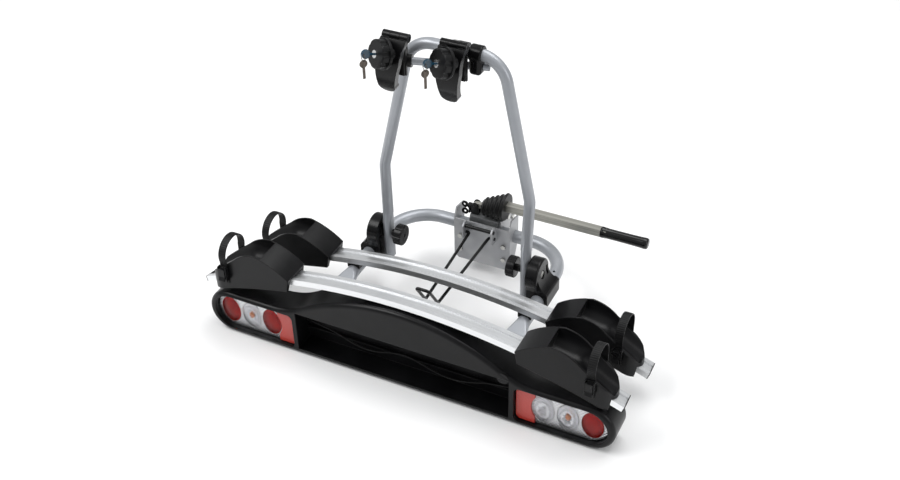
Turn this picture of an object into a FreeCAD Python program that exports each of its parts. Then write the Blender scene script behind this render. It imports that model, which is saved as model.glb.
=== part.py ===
import FreeCAD, Part
import math
import os
from FreeCAD import Vector

# Two-bike carrier that clamps on a tow ball.
# The layout is drawn with Y = 0 at the lamp faces, Z = 0 under the light board and X = 0 mid-way.
# Every piece is moved at the end so that the origin is the centre of the tow ball.
# +X is to the right seen from behind the car, +Y points to the car, +Z is up. Millimetres.

# Clearances
pin_gap = 0.05
body_gap = 0.3
seat_gap = 0.05

# Tow ball and coupling
ball_y = 562.0
ball_z = 128.0
ball_r = 25.0
socket_gap = 0.1
head_half = 40.0
head_front_y = 528.0
head_bottom_z = 95.0
head_top_z = 175.0
dome_r = 33.0
dome_z = 130.0
shoulder_y = 566.0
shoulder_z = 150.0
neck_front_y = 468.0
neck_bottom_z = 152.0
sleeve_r = 22.0
side_plate_t = 4.0
side_plate_ring_r = 25.0
coupling_bolt_r = 4.0

# Clamping lever
lever_y = 487.0
lever_z = 219.0
lever_pin_x = -30.0
lever_pin_z = 200.0
lever_pin_r = 4.0
lever_lug_r = 8.0
lever_lug_half = 6.0
fork_r = 10.0
fork_t = 4.0
lever_width = 20.0
lever_height = 20.0
lever_wall = 2.0
lever_start = 27.0
lever_reach = 330.0
grip_start = 314.0
grip_end = 438.0
grip_r = 14.5
boot_start = -9.0
boot_end = 58.0
boot_floor_z = 177.0
boot_r_small = 24.0
boot_r_large = 40.0
boot_rib = 4.5
boot_wall = 2.5
boot_ribs = 5
lock_r = 8.0
lock_x0 = -51.0
lock_x1 = -42.0
lock_z = 193.0

# Base tube, a U with its rear crosspiece in the bracket
tube_r = 17.0
tube_wall = 2.0
tube_x = 234.0
tube_z = 130.0
tube_rear_y = 488.0
tube_corner_r = 108.0
flat_start_y = 186.0
flat_full_y = 140.0
flat_end_y = 64.0
flat_width = 54.0
flat_thickness = 6.5
flat_bolt_r = 4.0
drain_r = 3.5
neck_overlap = 2.0

# Bracket on the crosspiece
bracket_y = 455.0
bracket_t = 4.0
bracket_half = 80.0
bracket_bottom_z = 37.0
bracket_top_z = 165.0
flange_top_z = 192.0
flange_depth = 56.0
bracket_bolt_x = 62.0
bracket_bolt_z_low = 70.0
bracket_bolt_z_high = 112.0
bolt_head_r = 7.0
bolt_head_h = 5.0
latch_ear_x = 38.0
latch_ear_y = 424.0
latch_bar_y = 436.0
latch_bar_z = 164.0
latch_bar_r = 5.0

# Tilt pedal, one bent wire
wire_r = 4.0
wire_half = 17.0
wire_half_top = 28.0
pedal_pin_y = 440.0
pedal_pin_z = 142.0
pedal_low_y = 163.0
pedal_low_z = 132.0
pedal_top_y = 118.0
pedal_top_z = 202.0

# Bow that carries the bikes
bow_r = 14.0
bow_wall = 2.0
bow_x = 189.0
hinge_y = 301.0
hinge_z = 192.0
bow_end_z = 115.0
bow_knee_x = 193.0
bow_knee_z = 393.0
bow_top_x = 115.0
bow_top_z = 748.0
bow_knee_r = 60.0
bow_corner_r = 73.0
bow_lean = 2.5
bow_flat_z = 226.0
bow_round_z = 252.0
bow_flat_width = 34.0
bow_flat_t = 22.0
hinge_bolt_r = 5.0

# Hinge brackets and their knobs
ear_x = 204.0
ear_t = 30.0
ear_r = 41.0
saddle_y0 = 272.0
saddle_y1 = 352.0
saddle_half = 25.0
saddle_drop = 22.0
fold_knob_r = 27.0
fold_knob_t = 22.0
fold_knob_x = 155.0
fold_knob_flutes = 8
fold_knob_gap = 0.9

# Rails, arched channels
rail_half = 547.0
rail_arch_r = 1504.0
rail_depth = 52.0
rail_height = 14.0
rail_wall = 2.4
rail_lip = 13.0
rail_groove_drop = 4.0
rail_tilt = 10.0
rail_rib = 1.2
front_rail_y = 1.0
front_rail_z = 234.0
rail_spacing = 183.0
end_cap_t = 2.0

# Wheel holders, one pair on each rail
holder_x0 = 295.0
holder_peak_x = 385.0
holder_x1 = 530.0
holder_rise = 70.0
holder_margin = 12.0
holder_skirt = 5.0
holder_nose_rise = 20.0
trough_half = 34.0
trough_floor = 42.0
trough_step = 0.4
trough_start_back = 14.0
trough_nose_depth = 6.0
strap_x = 478.0
strap_width = 20.0
strap_t = 2.6
strap_rise = 116.0
buckle_rise = 18.0
buckle_length = 40.0
buckle_t = 11.0

# Light board
board_half = 542.0
board_front_y = -15.0
board_back_y = 60.0
board_wall = 4.0
board_round = 11.0
board_notch_z = 8.0
pod_top_z = 124.0
hump_r = 488.0
hump_top_z = 228.0
hump_fillet_r = 177.0
recess_half = 284.0
recess_bottom_z = 14.0
recess_top_z = 130.0
recess_depth = 59.0
lens_x0 = 298.0
lens_corner = 12.0
lens_x1 = 522.0
lens_z0 = 14.0
lens_z1 = 112.0
lens_gap = 2.5
lens_base_t = 6.0
lamp_pitch = 60.0
lamp_outer_x = 485.0
lamp_z = 63.0
lamp_r = 28.0
lamp_stretch = 1.42
lamp_bulge = 9.0
lamp_seat = 2.0
reflector_x1 = 345.0
cable_r = 2.0

# Clamps for the bike frames
clamp_width = 64.0
clamp_barrel_r = 10.0
clamp_pin_r = 4.0
clamp_knuckle_half = 11.7
jaw_outer_r = 113.0
jaw_inner_r = 95.0
jaw_centre_back = 74.0
jaw_mid_drop = 78.5
jaw_half = 29.0
jaw_length = 147.0
jaw_tongue_r = 21.0
pad_t = 6.0
near_x = 25.0
near_y = 268.0
near_rise = 54.0
near_top_z = bow_top_z + near_rise
near_lean = -4.0
near_knob = (22.0, 210.0, near_top_z - 27.0)
near_ring_x0 = 6.0
near_ring_x1 = 30.0
near_plate_y = 290.0
far_x = -115.5
far_y = 262.0
arm_drop = 34.0
arm_z = bow_top_z - arm_drop
far_rise = 82.0
far_top_z = arm_z + far_rise
far_lean = -20.0
far_knob = (-130.0, 210.0, far_top_z - 32.0)
far_plate_y = 267.0
collar_x0 = 38.0
collar_x1 = 68.0
collar_wall = 6.0
collar_round = 9.0
arm_r = 9.0
arm_wall = 2.0
arm_x = 41.0
arm_y = 324.0
arm_turn = 14.5
arm_back = 40.0
arm_reach = 176.0
clamp_axis = (-0.51, -0.81, 0.29)
clamp_knob_r = 33.5
clamp_skirt_r = 36.0
clamp_knob_t = 24.0
clamp_lock_r = 9.0
clamp_stud_r = 5.0
key_head_r = 10.5
key_head_t = 7.0
key_ring_r = 9.0


def box(x0, x1, y0, y1, z0, z1):
    return Part.makeBox(x1 - x0, y1 - y0, z1 - z0, Vector(x0, y0, z0))


def rod(start, end, r):
    along = end.sub(start)
    return Part.makeCylinder(r, along.Length, start, along)


def prism_y(points, y0, y1):
    """A straight prism along Y from a closed outline of (x, z) points."""
    corners = [Vector(x, y0, z) for x, z in points]
    face = Part.Face(Part.makePolygon(corners + [corners[0]]))
    return face.extrude(Vector(0, y1 - y0, 0))


def prism_x(points, x0, x1):
    """A straight prism along X from a closed outline of (y, z) points."""
    corners = [Vector(x0, y, z) for y, z in points]
    face = Part.Face(Part.makePolygon(corners + [corners[0]]))
    return face.extrude(Vector(x1 - x0, 0, 0))


def line(a, b):
    return Part.LineSegment(a, b).toShape()


def arc(a, middle, b):
    return Part.Arc(a, middle, b).toShape()


def stadium_y(x0, x1, z0, z1, y0, y1, left_r, right_r):
    """A slab with rounded ends in its XZ outline, extruded along Y."""
    slab = box(x0, x1, y0, y1, z0, z1)
    corners = []
    for edge in slab.Edges:
        if abs(edge.Vertexes[0].Y - edge.Vertexes[1].Y) > (y1 - y0) / 2.0:
            corners.append(edge)
    lefts = [edge for edge in corners if abs(edge.Vertexes[0].X - x0) < 0.01]
    slab = slab.makeFillet(left_r, lefts)
    rights = []
    for edge in slab.Edges:
        first, last = edge.Vertexes[0], edge.Vertexes[-1]
        if abs(first.X - x1) < 0.01 and abs(last.X - x1) < 0.01 and abs(first.Y - last.Y) > (y1 - y0) / 2.0:
            rights.append(edge)
    return slab.makeFillet(right_r, rights)


def rounded_path(points, radii):
    """Straight runs joined by tangent arcs, as one wire."""
    edges = []
    start = points[0]
    for index in range(1, len(points) - 1):
        before = points[index - 1].sub(points[index]).normalize()
        after = points[index + 1].sub(points[index]).normalize()
        half = before.getAngle(after) / 2.0
        reach = radii[index - 1] / math.tan(half)
        tangent_in = points[index].add(Vector(before).multiply(reach))
        tangent_out = points[index].add(Vector(after).multiply(reach))
        inward = before.add(after).normalize()
        centre = points[index].add(Vector(inward).multiply(radii[index - 1] / math.sin(half)))
        middle = centre.sub(Vector(inward).multiply(radii[index - 1]))
        edges.append(line(start, tangent_in))
        edges.append(arc(tangent_in, middle, tangent_out))
        start = tangent_out
    edges.append(line(start, points[-1]))
    return Part.Wire(edges)


def pipe(path, r):
    first = path.Edges[0]
    start = first.Vertexes[0].Point
    direction = first.tangentAt(first.FirstParameter)
    ring = Part.Wire(Part.makeCircle(r, start, direction))
    return path.makePipeShell([ring], True, False)


def flat_ring(centre, along, wide, width, thickness):
    """A slot-shaped ring: two straight sides and two half rounds."""
    a = Vector(wide).normalize()
    b = along.cross(wide).normalize()
    side = width / 2.0 - thickness / 2.0
    r = thickness / 2.0
    near = centre.sub(Vector(a).multiply(side))
    far = centre.add(Vector(a).multiply(side))
    up = Vector(b).multiply(r)
    out = Vector(a).multiply(r)
    return Part.Wire([
        line(near.add(up), far.add(up)),
        arc(far.add(up), far.add(out), far.sub(up)),
        line(far.sub(up), near.sub(up)),
        arc(near.sub(up), near.sub(out), near.add(up)),
    ])


def fluted_knob(centre, axis, r, length, flutes, flute_r, bore_r):
    """A round knob with scooped flutes along its rim, centred on its axis."""
    half = Vector(axis).normalize().multiply(length / 2.0)
    start = centre.sub(half)
    knob = Part.makeCylinder(r, length, start, axis)
    rims = [edge for edge in knob.Edges if edge.Closed]
    knob = knob.makeFillet(length / 8.0, rims)
    side = axis.cross(Vector(0, 0, 1)).normalize()
    up = side.cross(axis).normalize()
    for index in range(flutes):
        turn = 2.0 * math.pi * (index + 0.5) / flutes
        out = Vector(side).multiply(math.cos(turn)).add(Vector(up).multiply(math.sin(turn)))
        spot = start.add(out.multiply(r + flute_r * 0.62)).sub(half)
        knob = knob.cut(Part.makeCylinder(flute_r, length * 2.0, spot, axis))
    if bore_r:
        knob = knob.cut(Part.makeCylinder(bore_r, length * 2.0, start.sub(half), axis))
    return knob


# Coupling


def coupling_bolt_places():
    return [(side, y, z) for side in (-1, 1) for y, z in ((522.0, 160.0), (552.0, 140.0))]


def coupling_head():
    """The cast head: a dome over the tow ball with its blind socket, a neck and the pivot sleeve."""
    dome = Part.makeCylinder(dome_r, dome_z - head_bottom_z, Vector(0, ball_y, head_bottom_z))
    dome = dome.fuse(Part.makeSphere(dome_r, Vector(0, ball_y, dome_z)))
    side_view = [
        (neck_front_y, neck_bottom_z), (neck_front_y, head_top_z), (head_front_y - 6.0, head_top_z),
        (shoulder_y, shoulder_z), (shoulder_y, tube_z - 8.0), (tube_rear_y, tube_z - 8.0),
        (tube_rear_y, neck_bottom_z),
    ]
    neck = prism_x(side_view, -head_half, head_half)
    sleeve = rod(Vector(-head_half, tube_rear_y, tube_z), Vector(head_half, tube_rear_y, tube_z), sleeve_r)
    whole = dome.fuse(neck).fuse(sleeve)
    bore = rod(Vector(-head_half - 1.0, tube_rear_y, tube_z), Vector(head_half + 1.0, tube_rear_y, tube_z),
               tube_r + pin_gap)
    socket_r = ball_r + socket_gap
    socket = Part.makeCylinder(socket_r, dome_z - head_bottom_z + 5.0, Vector(0, ball_y, head_bottom_z - 5.0))
    whole = whole.cut(bore).cut(socket).cut(Part.makeSphere(socket_r, Vector(0, ball_y, dome_z)))
    for side, y, z in coupling_bolt_places():
        whole = whole.cut(rod(Vector(side * (head_half - 8.0), y, z), Vector(side * (head_half + 1.0), y, z),
                              coupling_bolt_r))
    return whole.removeSplitter()


def coupling_side_plates():
    """The pressed plates on both sides, each ringed round the crosspiece."""
    plates = []
    for side in (-1, 1):
        x0 = head_half if side > 0 else -head_half - side_plate_t
        x1 = x0 + side_plate_t
        profile = [
            (tube_rear_y - 8.0, tube_z - side_plate_ring_r + 1.4),
            (head_front_y + 20.0, tube_z - 8.0),
            (shoulder_y - 6.0, tube_z - 4.0),
            (shoulder_y, tube_z + 4.0),
            (shoulder_y, shoulder_z - 2.0),
            (head_front_y, tube_z + 40.0),
            (neck_front_y + 10.0, tube_z + 42.0),
            (neck_front_y + 2.0, tube_z + 16.0),
        ]
        plate = prism_x(profile, x0, x1)
        plate = plate.fuse(rod(Vector(x0, tube_rear_y, tube_z), Vector(x1, tube_rear_y, tube_z),
                               side_plate_ring_r))
        plate = plate.cut(rod(Vector(x0 - 1.0, tube_rear_y, tube_z), Vector(x1 + 1.0, tube_rear_y, tube_z),
                              tube_r + pin_gap))
        for which, y, z in coupling_bolt_places():
            if which == side:
                plate = plate.cut(rod(Vector(x0 - 1.0, y, z), Vector(x1 + 1.0, y, z), coupling_bolt_r))
        plates.append(plate.removeSplitter())
    return Part.makeCompound(plates)


def coupling_bolts():
    """Two bolts through each side plate into the head."""
    bolts = []
    for side, y, z in coupling_bolt_places():
        start = Vector(side * (head_half + side_plate_t), y, z)
        bolts.append(hexagon_bolt(start, Vector(-side, 0, 0), coupling_bolt_r, side_plate_t + 7.0,
                                  bolt_head_r, bolt_head_h))
    return Part.makeCompound(bolts)


def lever_fork():
    """The fork on the neck, with the pin that the lever turns on."""
    whole = rod(Vector(lever_pin_x, lever_y - lever_lug_half - body_gap - fork_t, lever_pin_z),
                Vector(lever_pin_x, lever_y + lever_lug_half + body_gap + fork_t, lever_pin_z), lever_pin_r)
    for side in (-1, 1):
        near = lever_y + side * (lever_lug_half + body_gap)
        far = near + side * fork_t
        y0, y1 = min(near, far), max(near, far)
        cheek = box(lever_pin_x - fork_r, lever_pin_x + fork_r, y0, y1, head_top_z, lever_pin_z)
        disc = rod(Vector(lever_pin_x, y0, lever_pin_z), Vector(lever_pin_x, y1, lever_pin_z), fork_r)
        whole = whole.fuse(cheek).fuse(disc)
    return whole.removeSplitter()


def coupling_lock():
    """The lock stub at the left of the fork, on a foot of its own."""
    stub = rod(Vector(lock_x0, lever_y, lock_z), Vector(lock_x1, lever_y, lock_z), lock_r)
    post = box(lock_x1 - 6.0, lock_x1 - 2.0, lever_y - 9.0, lever_y + 9.0, head_top_z, lock_z)
    foot = box(lock_x1 - 6.0, lever_pin_x + fork_r, lever_y - lever_lug_half, lever_y + lever_lug_half,
               head_top_z, head_top_z + 3.0)
    hole = rod(Vector(lock_x0 - 1.0, lever_y, lock_z), Vector(lock_x0 + 8.0, lever_y, lock_z), 4.5)
    return stub.fuse(post).fuse(foot).cut(hole).removeSplitter()


def coupling_key():
    """A key in the lock and its spare on the same link, both with round heads."""
    x = lock_x0 - 11.0
    blade = box(x + 9.0, lock_x0 + 7.0, lever_y - 1.2, lever_y + 1.2, lock_z - 4.0, lock_z + 4.0)
    head = rod(Vector(x, lever_y - 1.2, lock_z), Vector(x, lever_y + 1.2, lock_z), 9.5)
    head = head.cut(rod(Vector(x - 2.0, lever_y - 2.0, lock_z), Vector(x - 2.0, lever_y + 2.0, lock_z), 3.4))
    low_z = lock_z - 22.0
    link = box(x - 1.5, x + 1.5, lever_y - 1.2, lever_y + 1.2, low_z + 8.0, lock_z - 8.0)
    spare = rod(Vector(x, lever_y - 1.2, low_z), Vector(x, lever_y + 1.2, low_z), 9.5)
    spare = spare.cut(rod(Vector(x, lever_y - 2.0, low_z), Vector(x, lever_y + 2.0, low_z), 3.4))
    return blade.fuse(head).fuse(link).fuse(spare).removeSplitter()


# Lever


def lever_bar():
    """A square tube with a flat lug that reaches down to the pin under the boot."""
    bar = box(lever_start, lever_reach, lever_y - lever_width / 2.0, lever_y + lever_width / 2.0,
              lever_z - lever_height / 2.0, lever_z + lever_height / 2.0)
    inside = box(lever_start + 12.0, lever_reach + 1.0,
                 lever_y - lever_width / 2.0 + lever_wall, lever_y + lever_width / 2.0 - lever_wall,
                 lever_z - lever_height / 2.0 + lever_wall, lever_z + lever_height / 2.0 - lever_wall)
    low = lever_z - lever_height / 2.0
    high = lever_z + lever_height / 2.0
    lug = prism_y([(lever_pin_x, lever_pin_z - lever_lug_r), (lever_start + 8.0, low),
                   (lever_start + 8.0, high), (lever_start, high), (-5.0, lever_pin_z + lever_lug_r),
                   (lever_pin_x, lever_pin_z + lever_lug_r)],
                  lever_y - lever_lug_half, lever_y + lever_lug_half)
    eye = rod(Vector(lever_pin_x, lever_y - lever_lug_half, lever_pin_z),
              Vector(lever_pin_x, lever_y + lever_lug_half, lever_pin_z), lever_lug_r)
    hole = rod(Vector(lever_pin_x, lever_y - lever_width, lever_pin_z),
               Vector(lever_pin_x, lever_y + lever_width, lever_pin_z), lever_pin_r + pin_gap)
    return bar.cut(inside).fuse(lug).fuse(eye).cut(hole).removeSplitter()


def lever_grip():
    """A moulded grip that swallows the end of the bar."""
    grip = rod(Vector(grip_start, lever_y, lever_z), Vector(grip_end, lever_y, lever_z), grip_r)
    ends = [e for e in grip.Edges if e.Closed]
    grip = grip.makeFillet(4.0, ends)
    hole = box(grip_start - 1.0, lever_reach + seat_gap, lever_y - lever_width / 2.0 - seat_gap,
               lever_y + lever_width / 2.0 + seat_gap, lever_z - lever_height / 2.0 - seat_gap,
               lever_z + lever_height / 2.0 + seat_gap)
    return grip.cut(hole)


def boot_ring(x, r, inset):
    """A circle of the boot, its foot at the same height all the way."""
    circle = Part.makeCircle(r - inset, Vector(x, lever_y, boot_floor_z + r), Vector(1, 0, 0))
    return Part.Wire(circle)


def boot_radius(x):
    share = (x - boot_start) / (boot_end - boot_start)
    return boot_r_small + (boot_r_large - boot_r_small) * share


def lever_boot():
    """A ribbed rubber boot, a cone of ridges that widens along the lever, with a hollow inside."""
    pitch = (boot_end - boot_start) / boot_ribs
    outer = None
    for index in range(boot_ribs):
        start = boot_start + pitch * index
        rings = [
            boot_ring(start, boot_radius(start), boot_rib),
            boot_ring(start + pitch * 0.35, boot_radius(start + pitch * 0.35), 0.0),
            boot_ring(start + pitch * 0.65, boot_radius(start + pitch * 0.65), 0.0),
            boot_ring(start + pitch, boot_radius(start + pitch), boot_rib),
        ]
        rib = Part.makeLoft(rings, True, True)
        outer = rib if outer is None else outer.fuse(rib)
    wall = boot_rib + boot_wall
    inner = Part.makeLoft([boot_ring(boot_start - 1.0, boot_r_small, wall),
                           boot_ring(boot_end - 4.0, boot_radius(boot_end - 4.0), wall)], True, True)
    boot = outer.cut(inner)
    hole = box(boot_end - 10.0, boot_end + 5.0, lever_y - lever_width / 2.0 - seat_gap,
               lever_y + lever_width / 2.0 + seat_gap, lever_z - lever_height / 2.0 - seat_gap,
               lever_z + lever_height / 2.0 + seat_gap)
    return boot.cut(hole)


# Platform frame


def base_tube():
    """One tube bent to a U, its front ends pressed flat behind the light board."""
    points = [
        Vector(-tube_x, flat_start_y, tube_z),
        Vector(-tube_x, tube_rear_y, tube_z),
        Vector(tube_x, tube_rear_y, tube_z),
        Vector(tube_x, flat_start_y, tube_z),
    ]
    path = rounded_path(points, [tube_corner_r, tube_corner_r])
    tube = pipe(path, tube_r).cut(pipe(path, tube_r - tube_wall))
    forward = Vector(0, -1, 0)
    for side in (-1, 1):
        start = Vector(side * tube_x, flat_start_y + neck_overlap, tube_z)
        full = Vector(side * tube_x, flat_full_y, tube_z)
        mid_wall = 2.0 * (tube_r - tube_wall / 2.0)
        round_ring = flat_ring(start, forward, Vector(1, 0, 0), mid_wall + 0.6, mid_wall)
        oval_ring = flat_ring(full, forward, Vector(1, 0, 0), flat_width, flat_thickness)
        neck = Part.makeLoft([round_ring, oval_ring], True, True)
        flat = Part.Face(oval_ring).extrude(Vector(0, flat_end_y - flat_full_y, 0))
        tube = tube.fuse(neck).fuse(flat)
    for x, y in flat_bolt_places():
        tube = tube.cut(Part.makeCylinder(flat_bolt_r, flat_thickness * 3.0,
                                          Vector(x, y, tube_z - flat_thickness)))
    drain = Vector(tube_x + 1.0, tube_rear_y - tube_corner_r - 4.0, tube_z)
    tube = tube.cut(Part.makeCylinder(drain_r, tube_r + 1.0, drain))
    return tube.removeSplitter()


def flat_bolt_places():
    return [(side * tube_x + dx, flat_end_y + 20.0) for side in (-1, 1) for dx in (-13.0, 13.0)]


def flat_bolts():
    """Bolts that hold the flat tube ends to the tabs on the board's back."""
    bolts = []
    for x, y in flat_bolt_places():
        bolts.append(hexagon_bolt(Vector(x, y, tube_z + flat_thickness / 2.0), Vector(0, 0, -1),
                                  flat_bolt_r, flat_thickness + 9.0, bolt_head_r, bolt_head_h))
    return Part.makeCompound(bolts)


def bracket():
    """The zinc-plated box bracket: a face plate with side flanges that hold the crosspiece."""
    half = bracket_half
    corner = 12.0
    face = prism_y([(-half + corner, bracket_bottom_z), (half - corner, bracket_bottom_z),
                    (half, bracket_bottom_z + corner), (half, bracket_top_z),
                    (-half, bracket_top_z), (-half, bracket_bottom_z + corner)],
                   bracket_y, bracket_y + bracket_t)
    back = bracket_y + flange_depth
    profile = [
        (bracket_y, bracket_bottom_z + corner),
        (bracket_y, bracket_top_z),
        (bracket_y + 14.0, flange_top_z),
        (back, flange_top_z - 8.0),
        (back, tube_z - 24.0),
        (bracket_y + 26.0, bracket_bottom_z + corner),
    ]
    whole = face
    for side in (-1, 1):
        x0 = half - bracket_t if side > 0 else -half
        whole = whole.fuse(prism_x(profile, x0, x0 + bracket_t))
        ear_x0 = side * latch_ear_x if side > 0 else side * latch_ear_x - bracket_t
        ear = prism_x([(bracket_y + 1.0, pedal_pin_z - 16.0), (latch_ear_y + 8.0, pedal_pin_z - 16.0),
                       (latch_ear_y, pedal_pin_z - 8.0), (latch_ear_y, latch_bar_z + 4.0),
                       (latch_ear_y + 8.0, latch_bar_z + 12.0), (latch_bar_y + 8.0, latch_bar_z + 12.0),
                       (bracket_y + 1.0, bracket_top_z - 4.0)],
                      ear_x0, ear_x0 + bracket_t)
        whole = whole.fuse(ear)
    reach = half + 2.0
    whole = whole.cut(rod(Vector(-reach, tube_rear_y, tube_z), Vector(reach, tube_rear_y, tube_z),
                          tube_r + seat_gap))
    whole = whole.cut(rod(Vector(-reach, pedal_pin_y, pedal_pin_z), Vector(reach, pedal_pin_y, pedal_pin_z),
                          wire_r + pin_gap))
    whole = whole.cut(rod(Vector(-reach, latch_bar_y, latch_bar_z), Vector(reach, latch_bar_y, latch_bar_z),
                          latch_bar_r))
    for x, z in bracket_bolt_places():
        whole = whole.cut(Part.makeCylinder(4.0, bracket_t * 3.0, Vector(x, bracket_y - 1.0, z),
                                            Vector(0, 1, 0)))
    return whole.removeSplitter()


def bracket_bolt_places():
    return [(x, z) for x in (-bracket_bolt_x, bracket_bolt_x)
            for z in (bracket_bolt_z_low, bracket_bolt_z_high)]


def latch_bar():
    """The black bar between the latch ears."""
    reach = latch_ear_x + bracket_t + 2.0
    return rod(Vector(-reach, latch_bar_y, latch_bar_z), Vector(reach, latch_bar_y, latch_bar_z),
               latch_bar_r)


def hexagon_bolt(centre, axis, r, length, head_r, head_h):
    """A bolt with a six-sided head at its start, pointing along its axis."""
    a = Vector(axis).normalize()
    side = a.cross(Vector(0.31, 0.52, 0.79)).normalize()
    up = side.cross(a).normalize()
    corners = []
    for index in range(6):
        turn = index * math.pi / 3.0
        corners.append(centre.add(Vector(side).multiply(head_r * math.cos(turn)))
                       .add(Vector(up).multiply(head_r * math.sin(turn))))
    head = Part.Face(Part.makePolygon(corners + [corners[0]])).extrude(Vector(a).multiply(-head_h))
    return head.fuse(Part.makeCylinder(r, length, centre, a)).removeSplitter()


def bracket_bolts():
    """Four short bolts through the face plate, heads to the front."""
    bolts = []
    for x, z in bracket_bolt_places():
        bolts.append(hexagon_bolt(Vector(x, bracket_y, z), Vector(0, 1, 0), 4.0,
                                  bracket_t + 3.0, bolt_head_r, bolt_head_h))
    return Part.makeCompound(bolts)


def tilt_pedal():
    """One wire: its ends turn in the latch ears, two rods run forward and rise to a foot loop."""
    end_x = latch_ear_x + bracket_t + 3.0
    points = [
        Vector(-end_x, pedal_pin_y, pedal_pin_z),
        Vector(-wire_half_top, pedal_pin_y, pedal_pin_z),
        Vector(-wire_half, pedal_low_y, pedal_low_z),
        Vector(-wire_half, pedal_top_y, pedal_top_z),
        Vector(wire_half, pedal_top_y, pedal_top_z),
        Vector(wire_half, pedal_low_y, pedal_low_z),
        Vector(wire_half_top, pedal_pin_y, pedal_pin_z),
        Vector(end_x, pedal_pin_y, pedal_pin_z),
    ]
    return pipe(rounded_path(points, [6.0, 12.0, 9.0, 9.0, 12.0, 6.0]), wire_r)


def bracket_flare(ear_out, top):
    """The hollow slope from the ear down to the saddle's outer edge, narrower towards the ear."""
    low = top - 2.0
    high = hinge_z + 14.0
    edge_x = tube_x + saddle_half
    front = Part.Wire([
        line(Vector(ear_out - 4.0, saddle_y0, low), Vector(ear_out - 4.0, saddle_y0, high)),
        line(Vector(ear_out - 4.0, saddle_y0, high), Vector(ear_out, saddle_y0, high)),
        arc(Vector(ear_out, saddle_y0, high), Vector(ear_out + 7.0, saddle_y0, top + 16.0),
            Vector(edge_x - 3.0, saddle_y0, low)),
        line(Vector(edge_x - 3.0, saddle_y0, low), Vector(ear_out - 4.0, saddle_y0, low)),
    ])
    slope = Part.Face(front).extrude(Vector(0, saddle_y1 - saddle_y0, 0))
    near, far = hinge_y - ear_r * 0.86, hinge_y + ear_r * 0.9
    side_view = Part.Wire([
        line(Vector(ear_x, saddle_y0 + 2.0, low - 1.0), Vector(ear_x, near, hinge_z)),
        line(Vector(ear_x, near, hinge_z), Vector(ear_x, hinge_y, hinge_z + ear_r * 0.6)),
        line(Vector(ear_x, hinge_y, hinge_z + ear_r * 0.6), Vector(ear_x, far, hinge_z)),
        arc(Vector(ear_x, far, hinge_z), Vector(ear_x, far + 3.0, top + 15.0),
            Vector(ear_x, saddle_y1 - 2.0, low - 1.0)),
        line(Vector(ear_x, saddle_y1 - 2.0, low - 1.0), Vector(ear_x, saddle_y0 + 2.0, low - 1.0)),
    ])
    return slope.common(Part.Face(side_view).extrude(Vector(edge_x - ear_x, 0, 0)))


def hinge_bracket(side):
    """A moulded bracket: a round ear beside the bow, flowing down to a saddle on the base tube."""
    ear_out = ear_x + ear_t
    top = tube_z + tube_r + 8.0
    ear_profile = [
        (saddle_y0, tube_z - saddle_drop),
        (saddle_y0, top),
        (hinge_y - ear_r * 0.97, hinge_z - 8.0),
        (hinge_y + ear_r * 0.95, hinge_z - 10.0),
        (saddle_y1, top + 2.0),
        (saddle_y1, tube_z - saddle_drop),
    ]
    ear = prism_x(ear_profile, ear_x, ear_out)
    disc = rod(Vector(ear_x, hinge_y, hinge_z), Vector(ear_out, hinge_y, hinge_z), ear_r)
    rims = [e for e in disc.Edges if e.Closed and e.BoundBox.XMin > ear_out - 0.1]
    disc = disc.makeFillet(5.0, rims)
    boss = rod(Vector(bow_x + bow_flat_t / 2.0 + body_gap, hinge_y, hinge_z), Vector(ear_x, hinge_y, hinge_z),
               16.0)
    whole = ear.fuse(disc).fuse(boss)
    block = box(ear_x, tube_x + saddle_half, saddle_y0, saddle_y1, tube_z - saddle_drop, top)
    long_edges = []
    for edge in block.Edges:
        outer = edge.BoundBox.XMin > tube_x + saddle_half - 0.1
        if outer and edge.BoundBox.YLength > 1.0:
            long_edges.append(edge)
    block = block.makeFillet(saddle_half * 0.4, long_edges)
    whole = whole.fuse(block).fuse(bracket_flare(ear_out, top))
    bore = rod(Vector(tube_x, saddle_y0 - 1.0, tube_z), Vector(tube_x, saddle_y1 + 1.0, tube_z),
               tube_r + seat_gap)
    mouth = box(tube_x - tube_r - seat_gap, tube_x + tube_r + seat_gap, saddle_y0 - 1.0, saddle_y1 + 1.0,
                tube_z - saddle_drop - 1.0, tube_z)
    bolt_hole = rod(Vector(ear_x - 10.0, hinge_y, hinge_z), Vector(ear_out + 1.0, hinge_y, hinge_z),
                    hinge_bolt_r)
    pocket = rod(Vector(ear_out - 6.0, hinge_y, hinge_z), Vector(ear_out + 40.0, hinge_y, hinge_z), 11.0)
    window = box(ear_x - 1.0, ear_out + 30.0, hinge_y + 22.0, hinge_y + 31.0, hinge_z - 14.0, hinge_z + 12.0)
    whole = whole.cut(bore).cut(mouth).cut(bolt_hole).cut(pocket).cut(window).removeSplitter()
    if side < 0:
        whole = whole.mirror(Vector(0, 0, 0), Vector(1, 0, 0))
    return whole


def hinge_bolts():
    """A bolt at each hinge, from the bracket's recess through the bow into the knob."""
    bolts = []
    for side in (-1, 1):
        outer = side * (ear_x + ear_t - 6.0)
        inner = side * (fold_knob_x - fold_knob_t / 2.0 + 4.0)
        bolts.append(hexagon_bolt(Vector(outer, hinge_y, hinge_z), Vector(-side, 0, 0), hinge_bolt_r,
                                  abs(outer - inner), 9.0, 5.0))
    return Part.makeCompound(bolts)


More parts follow.
